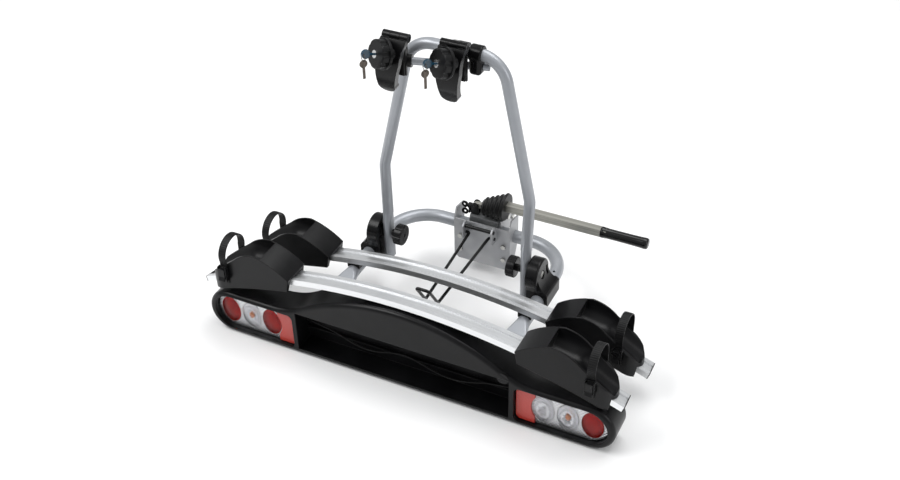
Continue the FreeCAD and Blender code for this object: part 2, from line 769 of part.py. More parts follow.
def fold_knob(side):
    """A lobed hand knob that clamps the bow."""
    centre = Vector(side * fold_knob_x, hinge_y, hinge_z)
    knob = fluted_knob(centre, Vector(1, 0, 0), fold_knob_r, fold_knob_t, fold_knob_flutes, 5.0,
                       hinge_bolt_r + pin_gap)
    gap_end = side * (bow_x - bow_flat_t / 2.0 - fold_knob_gap)
    face = side * (fold_knob_x + fold_knob_t / 2.0)
    boss = rod(Vector(face, hinge_y, hinge_z), Vector(gap_end, hinge_y, hinge_z), 9.0)
    boss = boss.cut(rod(Vector(face - side, hinge_y, hinge_z), Vector(gap_end + side, hinge_y, hinge_z),
                        hinge_bolt_r + pin_gap))
    return knob.fuse(boss).removeSplitter()


# Bow


def bow_y(z):
    return hinge_y + (z - hinge_z) * math.tan(math.radians(bow_lean))


def bow_path():
    points = []
    for side in (-1, 1):
        leg = [
            Vector(side * bow_x, bow_y(bow_round_z), bow_round_z),
            Vector(side * bow_knee_x, bow_y(bow_knee_z), bow_knee_z),
            Vector(side * bow_top_x, bow_y(bow_top_z), bow_top_z),
        ]
        points += leg if side < 0 else leg[::-1]
    return rounded_path(points, [bow_knee_r, bow_corner_r, bow_corner_r, bow_knee_r])


def bow_tube():
    """The carrying bow: two legs with a knee, drawn together to a short top, ends pressed flat."""
    bow = pipe(bow_path(), bow_r).cut(pipe(bow_path(), bow_r - bow_wall))
    wide = Vector(0, 1, 0)
    for side in (-1, 1):
        top = Vector(side * bow_x, bow_y(bow_round_z), bow_round_z)
        knee = Vector(side * bow_knee_x, bow_y(bow_knee_z), bow_knee_z)
        down = top.sub(knee).normalize()
        flat = Vector(side * bow_x, bow_y(bow_flat_z), bow_flat_z)
        width_here = wide.sub(Vector(down).multiply(wide.dot(down))).normalize()
        mid_wall = 2.0 * (bow_r - bow_wall / 2.0)
        inside = top.sub(Vector(down).multiply(neck_overlap))
        round_ring = flat_ring(inside, down, width_here, mid_wall + 0.6, mid_wall)
        flat_wire = flat_ring(flat, Vector(0, 0, -1), wide, bow_flat_width, bow_flat_t)
        neck = Part.makeLoft([round_ring, flat_wire], True, True)
        foot = Part.Face(flat_wire).extrude(Vector(0, 0, bow_end_z - bow_flat_z))
        bow = bow.fuse(neck).fuse(foot)
        hole = rod(Vector(side * (bow_x - 20.0), hinge_y, hinge_z),
                   Vector(side * (bow_x + 20.0), hinge_y, hinge_z), hinge_bolt_r + pin_gap)
        bow = bow.cut(hole)
    return bow.removeSplitter()


# Rails and wheel holders


def rail_frame(index):
    """Where a rail's lower front corner lies at mid-length, and the centre of its arch."""
    y = front_rail_y + index * rail_spacing
    if index == 0:
        z = front_rail_z
    else:
        drop = rail_arch_r - math.sqrt(rail_arch_r ** 2 - tube_x ** 2)
        slope = math.asin(tube_x / rail_arch_r)
        back_drop = rail_depth * math.sin(math.radians(rail_tilt))
        z = tube_z + tube_r / math.cos(slope) + body_gap + drop + back_drop
    return y, z


def rail_point(index, a, h):
    """A point of the section, a along its depth and h up it, at mid-length."""
    y, z = rail_frame(index)
    tilt = math.radians(rail_tilt)
    return Vector(0, y + a * math.cos(tilt) + h * math.sin(tilt),
                  z - a * math.sin(tilt) + h * math.cos(tilt))


def arch_turn(shape, index, angle):
    y, z = rail_frame(index)
    turned = shape.copy()
    turned.rotate(Vector(0, y, z - rail_arch_r), Vector(0, 1, 0), angle)
    return turned


def swept_arch(index, outline, half_angle):
    """An outline of (a, h) section points revolved about the arch's centre line."""
    y, z = rail_frame(index)
    corners = [rail_point(index, a, h) for a, h in outline]
    face = Part.Face(Part.makePolygon(corners + [corners[0]]))
    axis_point = Vector(0, y, z - rail_arch_r)
    face.rotate(axis_point, Vector(0, 1, 0), -half_angle)
    return face.revolve(axis_point, Vector(0, 1, 0), 2.0 * half_angle)


def rail_outline():
    """Half-open channel: ribbed lips, a sunk groove and side walls, open underneath."""
    d = rail_depth
    t = rail_wall
    lip = rail_lip
    top = rail_height
    floor = top - rail_groove_drop
    outline = [(0, 0), (0, top)]
    for index in range(2):
        a = lip * (index + 0.55) / 2.2
        outline += [(a, top), (a + 0.5, top - rail_rib), (a + 1.7, top - rail_rib), (a + 2.2, top)]
    outline += [(lip, top), (lip, floor), (d - lip, floor), (d - lip, top)]
    for index in range(2):
        a = d - lip + lip * (index + 0.4) / 2.2
        outline += [(a, top), (a + 0.5, top - rail_rib), (a + 1.7, top - rail_rib), (a + 2.2, top)]
    outline += [(d, top), (d, 0), (d - t, 0), (d - t, top - t), (d - lip + t, top - t),
                (d - lip + t, floor - t), (lip - t, floor - t), (lip - t, top - t), (t, top - t), (t, 0)]
    return outline


def rail_half_angle():
    return math.degrees(math.asin(rail_half / rail_arch_r))


def rail(index):
    return swept_arch(index, rail_outline(), rail_half_angle())


def rail_end_caps():
    """Four thin plastic caps, one flat on each rail end."""
    caps = []
    step = math.degrees(end_cap_t / rail_arch_r)
    outline = [(0, 0), (0, rail_height), (rail_depth, rail_height), (rail_depth, 0)]
    for index in (0, 1):
        for side in (-1, 1):
            cap = swept_arch(index, outline, step / 2.0)
            angle = side * (rail_half_angle() + step / 2.0)
            caps.append(arch_turn(cap, index, angle))
    return Part.makeCompound(caps)


def arch_z(index, x, h):
    """Height of the arch line that lies h above the section's lower front corner."""
    y, z = rail_frame(index)
    radius = rail_arch_r + h
    return z - rail_arch_r + math.sqrt(radius ** 2 - x ** 2)


def holder_mid(index):
    return rail_point(index, rail_depth / 2.0, 0.0)


def rail_saddles():
    """Two blocks between the base tube and the rear rail."""
    blocks = []
    y0 = rail_point(1, 6.0, 0.0).y
    y1 = rail_point(1, rail_depth - 6.0, 0.0).y
    under = [(-5.0, -body_gap), (-5.0, 40.0), (rail_depth + 5.0, 40.0), (rail_depth + 5.0, -body_gap)]
    keep_clear = swept_arch(1, under, rail_half_angle())
    for side in (-1, 1):
        block = box(side * tube_x - tube_r, side * tube_x + tube_r, y0, y1, tube_z + 9.0, tube_z + 34.0)
        block = block.cut(rod(Vector(side * tube_x, y0 - 1.0, tube_z), Vector(side * tube_x, y1 + 1.0, tube_z),
                              tube_r + seat_gap))
        blocks.append(block.cut(keep_clear).removeSplitter())
    return Part.makeCompound(blocks)


def wheel_holder(index, side):
    """A hump-shaped wheel trough, moulded over the rail, its trough running down to the nose."""
    middle = holder_mid(index).y
    half = rail_depth / 2.0 + holder_margin
    y0, y1 = middle - half, middle + half
    top_h = rail_height
    low = -rail_depth * math.sin(math.radians(rail_tilt)) - holder_skirt
    peak_z = arch_z(index, holder_peak_x, top_h) + holder_rise

    def at(x, h):
        return Vector(x, y0, arch_z(index, x, h))

    inner_low = at(holder_x0 + 6.0, low)
    inner_high = at(holder_x0, top_h + 4.0)
    peak = Vector(holder_peak_x, y0, peak_z)
    inner_mid = Vector(holder_x0 + 36.0, y0, peak_z - 20.0)
    shoulder = Vector(holder_peak_x + 62.0, y0, peak_z - 29.0)
    outer_mid = Vector(holder_peak_x + 33.0, y0, peak_z - 8.5)
    nose_high = at(holder_x1 - 8.0, top_h + holder_nose_rise)
    nose_tip = at(holder_x1, top_h + 4.0)
    nose_low = at(holder_x1 - 6.0, low)
    bottom_mid = at((holder_x0 + holder_x1) / 2.0, low)
    edges = [
        line(inner_low, inner_high),
        arc(inner_high, inner_mid, peak),
        arc(peak, outer_mid, shoulder),
        line(shoulder, nose_high),
        arc(nose_high, nose_tip, nose_low),
        arc(nose_low, bottom_mid, inner_low),
    ]
    body = Part.Face(Part.Wire(edges)).extrude(Vector(0, y1 - y0, 0))
    low_z = arch_z(index, holder_x1, low) - 20.0
    tall = peak_z - low_z + 20.0
    plan = box(holder_x0 - 5.0, holder_x1 - half, y0, y1, low_z, low_z + tall)
    plan = plan.fuse(Part.makeCylinder(half, tall, Vector(holder_x1 - half, middle, low_z)))
    body = body.common(plan)

    start = Vector(holder_peak_x - trough_start_back, middle, peak_z - trough_floor + trough_half)
    bend = Vector(holder_peak_x + 56.0, middle, peak_z - 31.0 - trough_floor * 0.5 + trough_half)
    end_x = holder_x1 + 12.0
    share = (end_x - shoulder.x) / (nose_high.x - shoulder.x)
    end_z = shoulder.z + share * (nose_high.z - shoulder.z) + trough_half - trough_nose_depth
    end = Vector(end_x, middle, end_z)
    path = rounded_path([start, bend, end], [90.0])
    groove = pipe(path, trough_half)
    lift = [
        (start.x, start.z), (bend.x, bend.z), (end.x, end.z),
        (end.x, peak_z + 40.0), (start.x, peak_z + 40.0),
    ]
    wall_r = trough_half + trough_step
    open_top = prism_y(lift, middle - wall_r, middle + wall_r)
    body = body.cut(groove).cut(open_top)
    passage_outline = [
        (-body_gap, -30.0), (-body_gap, rail_height + body_gap),
        (rail_depth + body_gap, rail_height + body_gap), (rail_depth + body_gap, -30.0),
    ]
    passage = swept_arch(index, passage_outline, rail_half_angle() + 4.0)
    body = body.cut(passage).removeSplitter()
    if side < 0:
        body = body.mirror(Vector(0, 0, 0), Vector(1, 0, 0))
    return body


def wheel_strap(index, side):
    """A toothed strap that loops over the trough, its ends down both walls of the holder."""
    x0 = strap_x - strap_width / 2.0
    middle = holder_mid(index).y
    half_in = rail_depth / 2.0 + holder_margin + body_gap
    half_out = half_in + strap_t
    base = arch_z(index, strap_x, 0.0) + 4.0
    spring = base + strap_rise * 0.55
    top_in = base + strap_rise
    top_out = top_in + strap_t

    def p(y, z):
        return Vector(x0, y, z)

    edges = [
        line(p(middle - half_out, base), p(middle - half_out, spring)),
        arc(p(middle - half_out, spring), p(middle, top_out), p(middle + half_out, spring)),
        line(p(middle + half_out, spring), p(middle + half_out, base)),
        line(p(middle + half_out, base), p(middle + half_in, base)),
        line(p(middle + half_in, base), p(middle + half_in, spring)),
        arc(p(middle + half_in, spring), p(middle, top_in), p(middle - half_in, spring)),
        line(p(middle - half_in, spring), p(middle - half_in, base)),
        line(p(middle - half_in, base), p(middle - half_out, base)),
    ]
    strap = Part.Face(Part.Wire(edges)).extrude(Vector(strap_width, 0, 0))
    if side < 0:
        strap = strap.mirror(Vector(0, 0, 0), Vector(1, 0, 0))
    return strap


def strap_buckle(index, side):
    """The ratchet buckle on the outside of the front wall, its lever shut."""
    middle = holder_mid(index).y
    y = middle - rail_depth / 2.0 - holder_margin - body_gap - strap_t
    z = arch_z(index, strap_x, 0.0) + buckle_rise
    half = strap_width / 2.0 + 2.0
    frame = box(strap_x - half, strap_x + half, y - buckle_t, y, z, z + buckle_length)
    slot = box(strap_x - half + 2.5, strap_x + half - 2.5, y - buckle_t - 1.0, y - 3.0,
               z + 8.0, z + buckle_length + 1.0)
    shutter = box(strap_x - half + 3.5, strap_x + half - 3.5, y - buckle_t - 2.0, y - 2.0,
                  z + 14.0, z + buckle_length - 4.0)
    tab = prism_x([(y - buckle_t - 2.0, z + 14.0), (y - buckle_t - 6.0, z + 4.0),
                   (y - buckle_t - 3.0, z + 3.0), (y - buckle_t + 2.0, z + 14.0)],
                  strap_x - half + 3.5, strap_x + half - 3.5)
    frame = frame.cut(slot).fuse(shutter).fuse(tab).removeSplitter()
    if side < 0:
        frame = frame.mirror(Vector(0, 0, 0), Vector(1, 0, 0))
    return frame


# Light board


def hump_points(inset):
    """Where the board's top arc meets the hollow arcs that lead to the pods, drawn in by an inset."""
    centre_z = hump_top_z - hump_r
    fillet_z = pod_top_z + hump_fillet_r
    dz = fillet_z - centre_z
    dx = math.sqrt((hump_r + hump_fillet_r) ** 2 - dz ** 2)
    r = hump_r - inset
    join = (r * dx / (hump_r + hump_fillet_r), centre_z + r * dz / (hump_r + hump_fillet_r))
    half_turn = math.atan2(dx, dz) / 2.0
    fillet_now = hump_fillet_r + inset
    middle = (dx - fillet_now * math.sin(half_turn), fillet_z - fillet_now * math.cos(half_turn))
    foot = (dx, pod_top_z - inset)
    return join, middle, foot


def board_outline(inset):
    """Front outline of the light board, drawn in by an inset."""
    r = (pod_top_z - 2.0 * inset) / 2.0
    end = board_half - inset
    mid_z = pod_top_z / 2.0
    low = inset
    high = pod_top_z - inset
    y = board_front_y
    join, middle, foot = hump_points(inset)

    def p(x, z):
        return Vector(x, y, z)

    edges = [
        line(p(-end + r, low), p(end - r, low)),
        arc(p(end - r, low), p(end, mid_z), p(end - r, high)),
        line(p(end - r, high), p(foot[0], high)),
        arc(p(foot[0], high), p(middle[0], middle[1]), p(join[0], join[1])),
        arc(p(join[0], join[1]), p(0, hump_top_z - inset), p(-join[0], join[1])),
        arc(p(-join[0], join[1]), p(-middle[0], middle[1]), p(-foot[0], high)),
        line(p(-foot[0], high), p(-end + r, high)),
        arc(p(-end + r, high), p(-end, mid_z), p(-end + r, low)),
    ]
    return Part.Face(Part.Wire(edges))


def lens_slab(side, y0, y1, grow, x_start):
    """The lamp unit's outline as a slab: square inner end, round outer end."""
    round_r = (lens_z1 - lens_z0) / 2.0 + grow - 0.5
    slab = stadium_y(x_start - grow, lens_x1 + grow, lens_z0 - grow, lens_z1 + grow, y0, y1,
                     lens_corner + grow, round_r)
    if side < 0:
        slab = slab.mirror(Vector(0, 0, 0), Vector(1, 0, 0))
    return slab


def light_board():
    """The moulded board: two lamp pods, a plate recess and a hump that carries the front rail."""
    board = board_outline(0.0).extrude(Vector(0, board_back_y - board_front_y, 0))
    front_edges = []
    for edge in board.Edges:
        if edge.BoundBox.YMax < board_front_y + 0.1:
            front_edges.append(edge)
    board = board.makeFillet(board_round, front_edges)
    recess_y = board_front_y + recess_depth
    board = board.cut(box(-recess_half, recess_half, board_front_y - 1.0, recess_y,
                          recess_bottom_z, recess_top_z))
    board = board.cut(box(-recess_half + 8.0, recess_half - 8.0, board_front_y - 1.0, board_back_y + 1.0,
                          -1.0, board_notch_z))
    for side in (-1, 1):
        board = board.cut(lens_slab(side, board_front_y - 1.0, lens_base_t, lens_gap, lens_x0))
    shell = board_outline(board_wall).extrude(Vector(0, board_back_y + 1.0 - board_front_y, 0))
    inner = shell.common(box(-board_half, board_half, recess_y + board_wall, board_back_y + 2.0,
                             recess_bottom_z, recess_top_z + board_wall))
    inner = inner.fuse(shell.common(box(-board_half, board_half, board_front_y + board_wall + 6.0,
                                        board_back_y + 2.0, recess_top_z + board_wall, 400.0)))
    for side in (-1, 1):
        x0 = recess_half + board_wall
        x_low, x_high = (x0, board_half) if side > 0 else (-board_half, -x0)
        inner = inner.fuse(shell.common(box(x_low, x_high, lens_base_t + board_wall, board_back_y + 2.0,
                                            -5.0, pod_top_z)))
    ribs = None
    for x in (-480.0, -410.0, -340.0, -tube_x, -110.0, 0.0, 110.0, tube_x, 340.0, 410.0, 480.0):
        half_rib = 2.0
        if abs(abs(x) - tube_x) < 1.0:
            half_rib = flat_width / 2.0 + 4.0
        rib = box(x - half_rib, x + half_rib, board_front_y, board_back_y + 3.0, -6.0, 400.0)
        ribs = rib if ribs is None else ribs.fuse(rib)
    board = board.cut(inner.cut(ribs))
    for side in (-1, 1):
        tab = box(side * tube_x - flat_width / 2.0, side * tube_x + flat_width / 2.0, board_back_y - 4.0,
                  flat_end_y + 40.0, tube_z - flat_thickness / 2.0 - 6.0, tube_z - flat_thickness / 2.0)
        board = board.fuse(tab)
    for x, y in flat_bolt_places():
        board = board.cut(Part.makeCylinder(flat_bolt_r, 20.0, Vector(x, y, tube_z - 20.0)))
    for z in (48.0, 84.0):
        board = board.fuse(box(-recess_half - 1.0, recess_half + 1.0, recess_y - 9.0, recess_y + 1.0,
                               z, z + 4.0))
    lobe_x = recess_half - 16.0
    board = board.fuse(rod(Vector(lobe_x, board_front_y + 1.0, recess_top_z + 2.0),
                           Vector(lobe_x, board_front_y + 7.0, recess_top_z + 2.0), 15.0))
    envelope = [(-body_gap, -body_gap), (-body_gap, rail_height + 60.0),
                (rail_depth + body_gap + 40.0, rail_height + 60.0), (rail_depth + body_gap + 40.0, -body_gap)]
    board = board.cut(swept_arch(0, envelope, rail_half_angle()))
    return board.removeSplitter()


def lamp_disc(side, index, r, y0, y1):
    """A disc at a lamp's place, drawn out upwards to the lamp's oval."""
    x = side * (lamp_outer_x - index * lamp_pitch)
    oval = Part.Ellipse(Vector(x, y0, lamp_z + r * lamp_stretch), Vector(x + r, y0, lamp_z), Vector(x, y0, lamp_z))
    return Part.Face(Part.Wire(oval.toShape())).extrude(Vector(0, y1 - y0, 0))


def lamp_trays():
    """The silvered trays of the two lamp units, with three oval seats each."""
    trays = []
    for side in (-1, 1):
        tray = lens_slab(side, body_gap, lens_base_t - seat_gap, 0.0, lens_x0)
        for index in range(3):
            tray = tray.cut(lamp_disc(side, index, lamp_r, body_gap - 0.1, body_gap + lamp_seat))
        ends = sorted((side * (lens_x0 - 1.0), side * reflector_x1))
        tray = tray.cut(box(ends[0], ends[1], body_gap - 0.1, body_gap + lamp_seat,
                            lens_z0 - 1.0, lens_z1 + 1.0))
        trays.append(tray)
    return Part.makeCompound(trays)


def lamp(side, index):
    """One oval lamp lens, a shallow dome seated in the tray."""
    x = side * (lamp_outer_x - index * lamp_pitch)
    rim = lamp_r - seat_gap
    sphere_r = (lamp_r ** 2 + lamp_bulge ** 2) / (2.0 * lamp_bulge)
    dome = Part.makeSphere(sphere_r, Vector(x, body_gap + sphere_r - lamp_bulge, lamp_z))
    stretch = FreeCAD.Matrix()
    stretch.move(Vector(0, 0, -lamp_z))
    stretch.scale(Vector(1.0, 1.0, lamp_stretch))
    stretch.move(Vector(0, 0, lamp_z))
    dome = dome.transformGeometry(stretch)
    return dome.common(lamp_disc(side, index, rim, body_gap - 30.0, body_gap + lamp_seat))


def lamps(places):
    return Part.makeCompound([lamp(side, index) for side, index in places])


def side_reflectors():
    """The red reflectors at the inner ends of the lamp units."""
    slabs = []
    for side in (-1, 1):
        slab = lens_slab(side, -4.0, body_gap + lamp_seat - seat_gap, 0.0, lens_x0)
        ends = sorted((side * (lens_x0 - 1.0), side * (reflector_x1 - 0.2)))
        slab = slab.common(box(ends[0], ends[1], -6.0, 10.0, lens_z0 - 1.0, lens_z1 + 1.0))
        slabs.append(slab.cut(lamp_disc(side, 2, lamp_r + 1.6, -10.0, 20.0)))
    return Part.makeCompound(slabs)


def board_cable():
    """The lamp lead, held from pod to pod across the recess, sagging between its clips."""
    y = board_front_y + recess_depth - 9.0 - cable_r - 1.0
    points = [
        Vector(-recess_half + 0.6, y, 78.0),
        Vector(-205.0, y - 2.0, 70.0),
        Vector(-150.0, y - 4.0, 46.0),
        Vector(-95.0, y - 3.0, 40.0),
        Vector(-45.0, y - 1.0, 56.0),
        Vector(5.0, y - 3.0, 64.0),
        Vector(60.0, y - 4.0, 44.0),
        Vector(115.0, y - 4.0, 32.0),
        Vector(170.0, y - 3.0, 42.0),
        Vector(215.0, y - 1.0, 60.0),
        Vector(recess_half - 0.6, y, 66.0),
    ]
    radii = []
    for index in range(1, len(points) - 1):
        before = points[index - 1].sub(points[index])
        after = points[index + 1].sub(points[index])
        turn = math.pi - before.getAngle(after)
        radii.append(0.45 * min(before.Length, after.Length) / math.tan(turn / 2.0))
    path = rounded_path(points, radii)
    cable = pipe(path, cable_r)
    print("cable: smallest radius", round(min(radii)), "volume ratio",
          round(cable.Volume / (math.pi * cable_r ** 2 * path.Length), 4))
    return cable


# Frame clamps


def clamp_vector():
    return Vector(*clamp_axis).normalize()


def jaw(head_x, head_y, top_z, lean, knob):
    """A moulded jaw: cross head with two knuckles, bowed body, rounded tongue, boss for the knob."""
    hinge = top_z - clamp_barrel_r
    bottom = top_z - jaw_length
    wide = clamp_width / 2.0

    def p(dx, z):
        share = (hinge - z) / (hinge - bottom)
        return Vector(head_x + dx + lean * share, head_y - 70.0, z)

    waist_z = top_z - 66.0
    tongue_z = bottom + jaw_tongue_r
    edges = [
        line(p(-wide, hinge), p(wide, hinge)),
        line(p(wide, hinge), p(wide, hinge - 12.0)),
        line(p(wide, hinge - 12.0), p(jaw_half, hinge - 24.0)),
        line(p(jaw_half, hinge - 24.0), p(jaw_half, waist_z)),
        line(p(jaw_half, waist_z), p(jaw_tongue_r, tongue_z)),
        arc(p(jaw_tongue_r, tongue_z), p(0, bottom), p(-jaw_tongue_r, tongue_z)),
        line(p(-jaw_tongue_r, tongue_z), p(-jaw_half, waist_z)),
        line(p(-jaw_half, waist_z), p(-jaw_half, hinge - 24.0)),
        line(p(-jaw_half, hinge - 24.0), p(-wide, hinge - 12.0)),
        line(p(-wide, hinge - 12.0), p(-wide, hinge)),
    ]
    slab = Part.Face(Part.Wire(edges)).extrude(Vector(0, 100.0, 0))
    centre = Vector(head_x - 100.0, head_y + jaw_centre_back, top_z - jaw_mid_drop)
    outer = Part.makeCylinder(jaw_outer_r, 200.0, centre, Vector(1, 0, 0))
    inner = Part.makeCylinder(jaw_inner_r, 200.0, centre, Vector(1, 0, 0))
    whole = slab.common(outer).cut(inner)
    whole = whole.fuse(rod(Vector(head_x - wide, head_y, hinge), Vector(head_x + wide, head_y, hinge),
                           clamp_barrel_r))
    axis = clamp_vector()
    face = Vector(*knob).sub(Vector(axis).multiply(clamp_knob_t / 2.0 + body_gap))
    whole = whole.cut(rod(face, face.add(Vector(axis).multiply(80.0)), clamp_skirt_r + 1.5))
    whole = whole.fuse(rod(face, face.sub(Vector(axis).multiply(23.0)), 13.0))
    whole = whole.cut(inner.common(box(head_x - 90.0, head_x + 90.0, head_y - 60.0, head_y + 60.0,
                                       bottom - 10.0, hinge - clamp_barrel_r)))
    gap = clamp_knuckle_half + body_gap
    whole = whole.cut(rod(Vector(head_x - gap, head_y, hinge), Vector(head_x + gap, head_y, hinge),
                          clamp_barrel_r + 1.0))
    whole = whole.cut(box(head_x - gap, head_x + gap, head_y, head_y + 60.0, hinge - 26.0, top_z + 5.0))
    whole = whole.cut(rod(Vector(head_x - wide - 1.0, head_y, hinge), Vector(head_x + wide + 1.0, head_y, hinge),
                          clamp_pin_r + pin_gap))
    stud = rod(face.sub(Vector(axis).multiply(10.0)), Vector(*knob), clamp_stud_r)
    return whole.fuse(stud).removeSplitter()


def knuckle(head_x, head_y, top_z):
    """The middle knuckle of a clamp's base, with the hinge pin."""
    hinge = top_z - clamp_barrel_r
    middle = rod(Vector(head_x - clamp_knuckle_half, head_y, hinge),
                 Vector(head_x + clamp_knuckle_half, head_y, hinge), clamp_barrel_r)
    reach = clamp_width / 2.0 - 1.0
    return middle.fuse(rod(Vector(head_x - reach, head_y, hinge), Vector(head_x + reach, head_y, hinge),
                           clamp_pin_r))


def near_clamp_base():
    """The near clamp's base: a ring round the bow's top, an arm to the knuckle and a flat back plate."""
    hinge = near_top_z - clamp_barrel_r
    y = bow_y(bow_top_z)
    ring_r = bow_r + collar_wall + body_gap
    ring = rod(Vector(near_ring_x0, y, bow_top_z), Vector(near_ring_x1, y, bow_top_z), ring_r)
    arm = prism_x([(near_y + 1.0, hinge + 9.5), (near_y + 26.0, hinge - 2.0), (y, bow_top_z + ring_r - 2.0),
                   (y, bow_top_z - ring_r + 6.0), (near_plate_y + 6.0, bow_top_z - 14.0),
                   (near_plate_y, bow_top_z - 14.0), (near_plate_y, hinge - 26.0), (near_y + 6.0, hinge - 8.0)],
                  near_x - clamp_knuckle_half, near_ring_x1)
    plate = box(near_x - 18.0, near_x + 18.0, near_plate_y, near_plate_y + pad_t,
                near_top_z - 110.0, near_top_z - 40.0)
    whole = ring.fuse(arm).fuse(plate).fuse(knuckle(near_x, near_y, near_top_z))
    bore = rod(Vector(near_ring_x0 - 30.0, y, bow_top_z), Vector(near_ring_x1 + 30.0, y, bow_top_z),
               bow_r + 0.1)
    return whole.cut(bore).removeSplitter()


def clamp_pad(head_x, plate_y, top_z):
    """The rubber pad on a clamp's back plate, scooped where the long arm's sleeve passes."""
    pad = box(head_x - 16.0, head_x + 16.0, plate_y - pad_t, plate_y, top_z - 108.0, top_z - 42.0)
    return pad.cut(rod(arm_point(arm_reach - 60.0), arm_point(arm_reach + 30.0), arm_r + 6.0 + seat_gap))


def arm_direction():
    turn = math.radians(arm_turn)
    return Vector(-math.cos(turn), -math.sin(turn), 0)


def arm_point(reach):
    return Vector(arm_x, arm_y, arm_z).add(arm_direction().multiply(reach))


def arm_collar():
    """The collar on the bow that carries the long arm in a lower bore."""
    y = bow_y(bow_top_z)
    ring_r = bow_r + collar_wall + seat_gap
    ring = rod(Vector(collar_x0, y, bow_top_z), Vector(collar_x1, y, bow_top_z), ring_r)
    low = arm_z - arm_r - collar_wall
    block = box(collar_x0, collar_x1, y - ring_r + 1.5, y + ring_r + 1.0, low, bow_top_z)
    edges = [e for e in block.Edges if e.BoundBox.ZMax < low + 0.1 or e.BoundBox.ZLength > 5.0]
    block = block.makeFillet(collar_round, edges)
    rims = [e for e in ring.Edges if e.BoundBox.XLength < 0.1]
    whole = ring.makeFillet(3.0, rims).fuse(block)
    bore = pipe(bow_path(), bow_r + seat_gap)
    slide_bore = rod(arm_point(-60.0), arm_point(60.0), arm_r + pin_gap)
    return whole.cut(bore).cut(slide_bore).removeSplitter()


def arm_bar():
    """The long arm: a round tube through the collar, its end in the far clamp."""
    bar = rod(arm_point(-arm_back), arm_point(arm_reach), arm_r)
    return bar.cut(rod(arm_point(-arm_back - 1.0), arm_point(arm_reach - 40.0), arm_r - arm_wall))


def far_clamp_base():
    """The far clamp's base: a sleeve that turns on the long arm, an arm to the knuckle, a back plate."""
    hinge = far_top_z - clamp_barrel_r
    sleeve = rod(arm_point(arm_reach - 38.0), arm_point(arm_reach + 6.0), arm_r + 6.0)
    y = arm_point((arm_x - far_x) / math.cos(math.radians(arm_turn))).y
    arm = prism_x([(far_y + 1.0, hinge + 9.5), (far_y + 22.0, hinge - 2.0), (y + 10.0, arm_z + 14.0),
                   (y + 6.0, arm_z - 8.0), (far_plate_y + 1.0, arm_z - 8.0), (far_plate_y, hinge - 30.0),
                   (far_y + 5.0, hinge - 8.0)],
                  far_x - clamp_knuckle_half, far_x + clamp_knuckle_half)
    plate = box(far_x - 18.0, far_x + 18.0, far_plate_y, far_plate_y + pad_t,
                far_top_z - 110.0, far_top_z - 40.0)
    whole = sleeve.fuse(arm).fuse(plate).fuse(knuckle(far_x, far_y, far_top_z))
    bore = rod(arm_point(0.0), arm_point(arm_reach + 1.0), arm_r + pin_gap)
    return whole.cut(bore).removeSplitter()


def clamp_knob(knob):
    """The big fluted knob of a clamp, with a skirt behind and a pocket for its lock."""
    centre = Vector(*knob)
    axis = clamp_vector()
    back = centre.sub(Vector(axis).multiply(clamp_knob_t / 2.0))
    body = fluted_knob(centre, axis, clamp_knob_r, clamp_knob_t, 8, 9.0, 0.0)
    skirt = rod(back, back.add(Vector(axis).multiply(6.0)), clamp_skirt_r)
    face = centre.add(Vector(axis).multiply(clamp_knob_t / 2.0))
    pocket = rod(face.sub(Vector(axis).multiply(9.0)), face.add(axis), clamp_lock_r + seat_gap)
    stud_hole = rod(back.sub(axis), centre.add(Vector(axis).multiply(body_gap)), clamp_stud_r + pin_gap)
    return body.fuse(skirt).cut(pocket).cut(stud_hole).removeSplitter()


def clamp_lock(knob):
    """The lock barrel that stands out of a clamp's knob, slotted for its key."""
    axis = clamp_vector()
    face = Vector(*knob).add(Vector(axis).multiply(clamp_knob_t / 2.0))
    end = face.add(Vector(axis).multiply(3.0))
    barrel = rod(face.sub(Vector(axis).multiply(9.0 - seat_gap)), end, clamp_lock_r)
    return barrel.cut(rod(end.add(axis), end.sub(Vector(axis).multiply(8.0)), 3.0))


def key_plate(centre, half_along, half_across, normal, along, thick):
    """A thin flat bar lying in the plane square to a normal."""
    n = Vector(normal).normalize()
    a = Vector(along).normalize()
    across = n.cross(a).normalize()
    corner = centre.sub(Vector(n).multiply(thick / 2.0))
    pieces = []
    for u, v in ((-1, -1), (1, -1), (1, 1), (-1, 1)):
        pieces.append(corner.add(Vector(a).multiply(u * half_along)).add(Vector(across).multiply(v * half_across)))
    return Part.Face(Part.makePolygon(pieces + [pieces[0]])).extrude(Vector(n).multiply(thick))


def key_side():
    return clamp_vector().cross(Vector(0, 0, 1)).normalize()


def key_hole(knob):
    return Vector(*knob).add(clamp_vector().multiply(clamp_knob_t / 2.0 + 32.0))


def clamp_key(knob):
    """A key in the lock: a round blade and a moulded head with an eye."""
    axis = clamp_vector()
    side = key_side()
    face = Vector(*knob).add(Vector(axis).multiply(clamp_knob_t / 2.0))
    head_at = face.add(Vector(axis).multiply(25.0))
    blade = rod(face.sub(Vector(axis).multiply(4.0)), head_at, 2.9)
    half = Vector(side).multiply(key_head_t / 2.0)
    head = rod(head_at.sub(half), head_at.add(half), key_head_r)
    eye = key_hole(knob)
    hole = rod(eye.sub(Vector(side).multiply(5.0)), eye.add(Vector(side).multiply(5.0)), 1.6)
    return blade.fuse(head).cut(hole).removeSplitter()


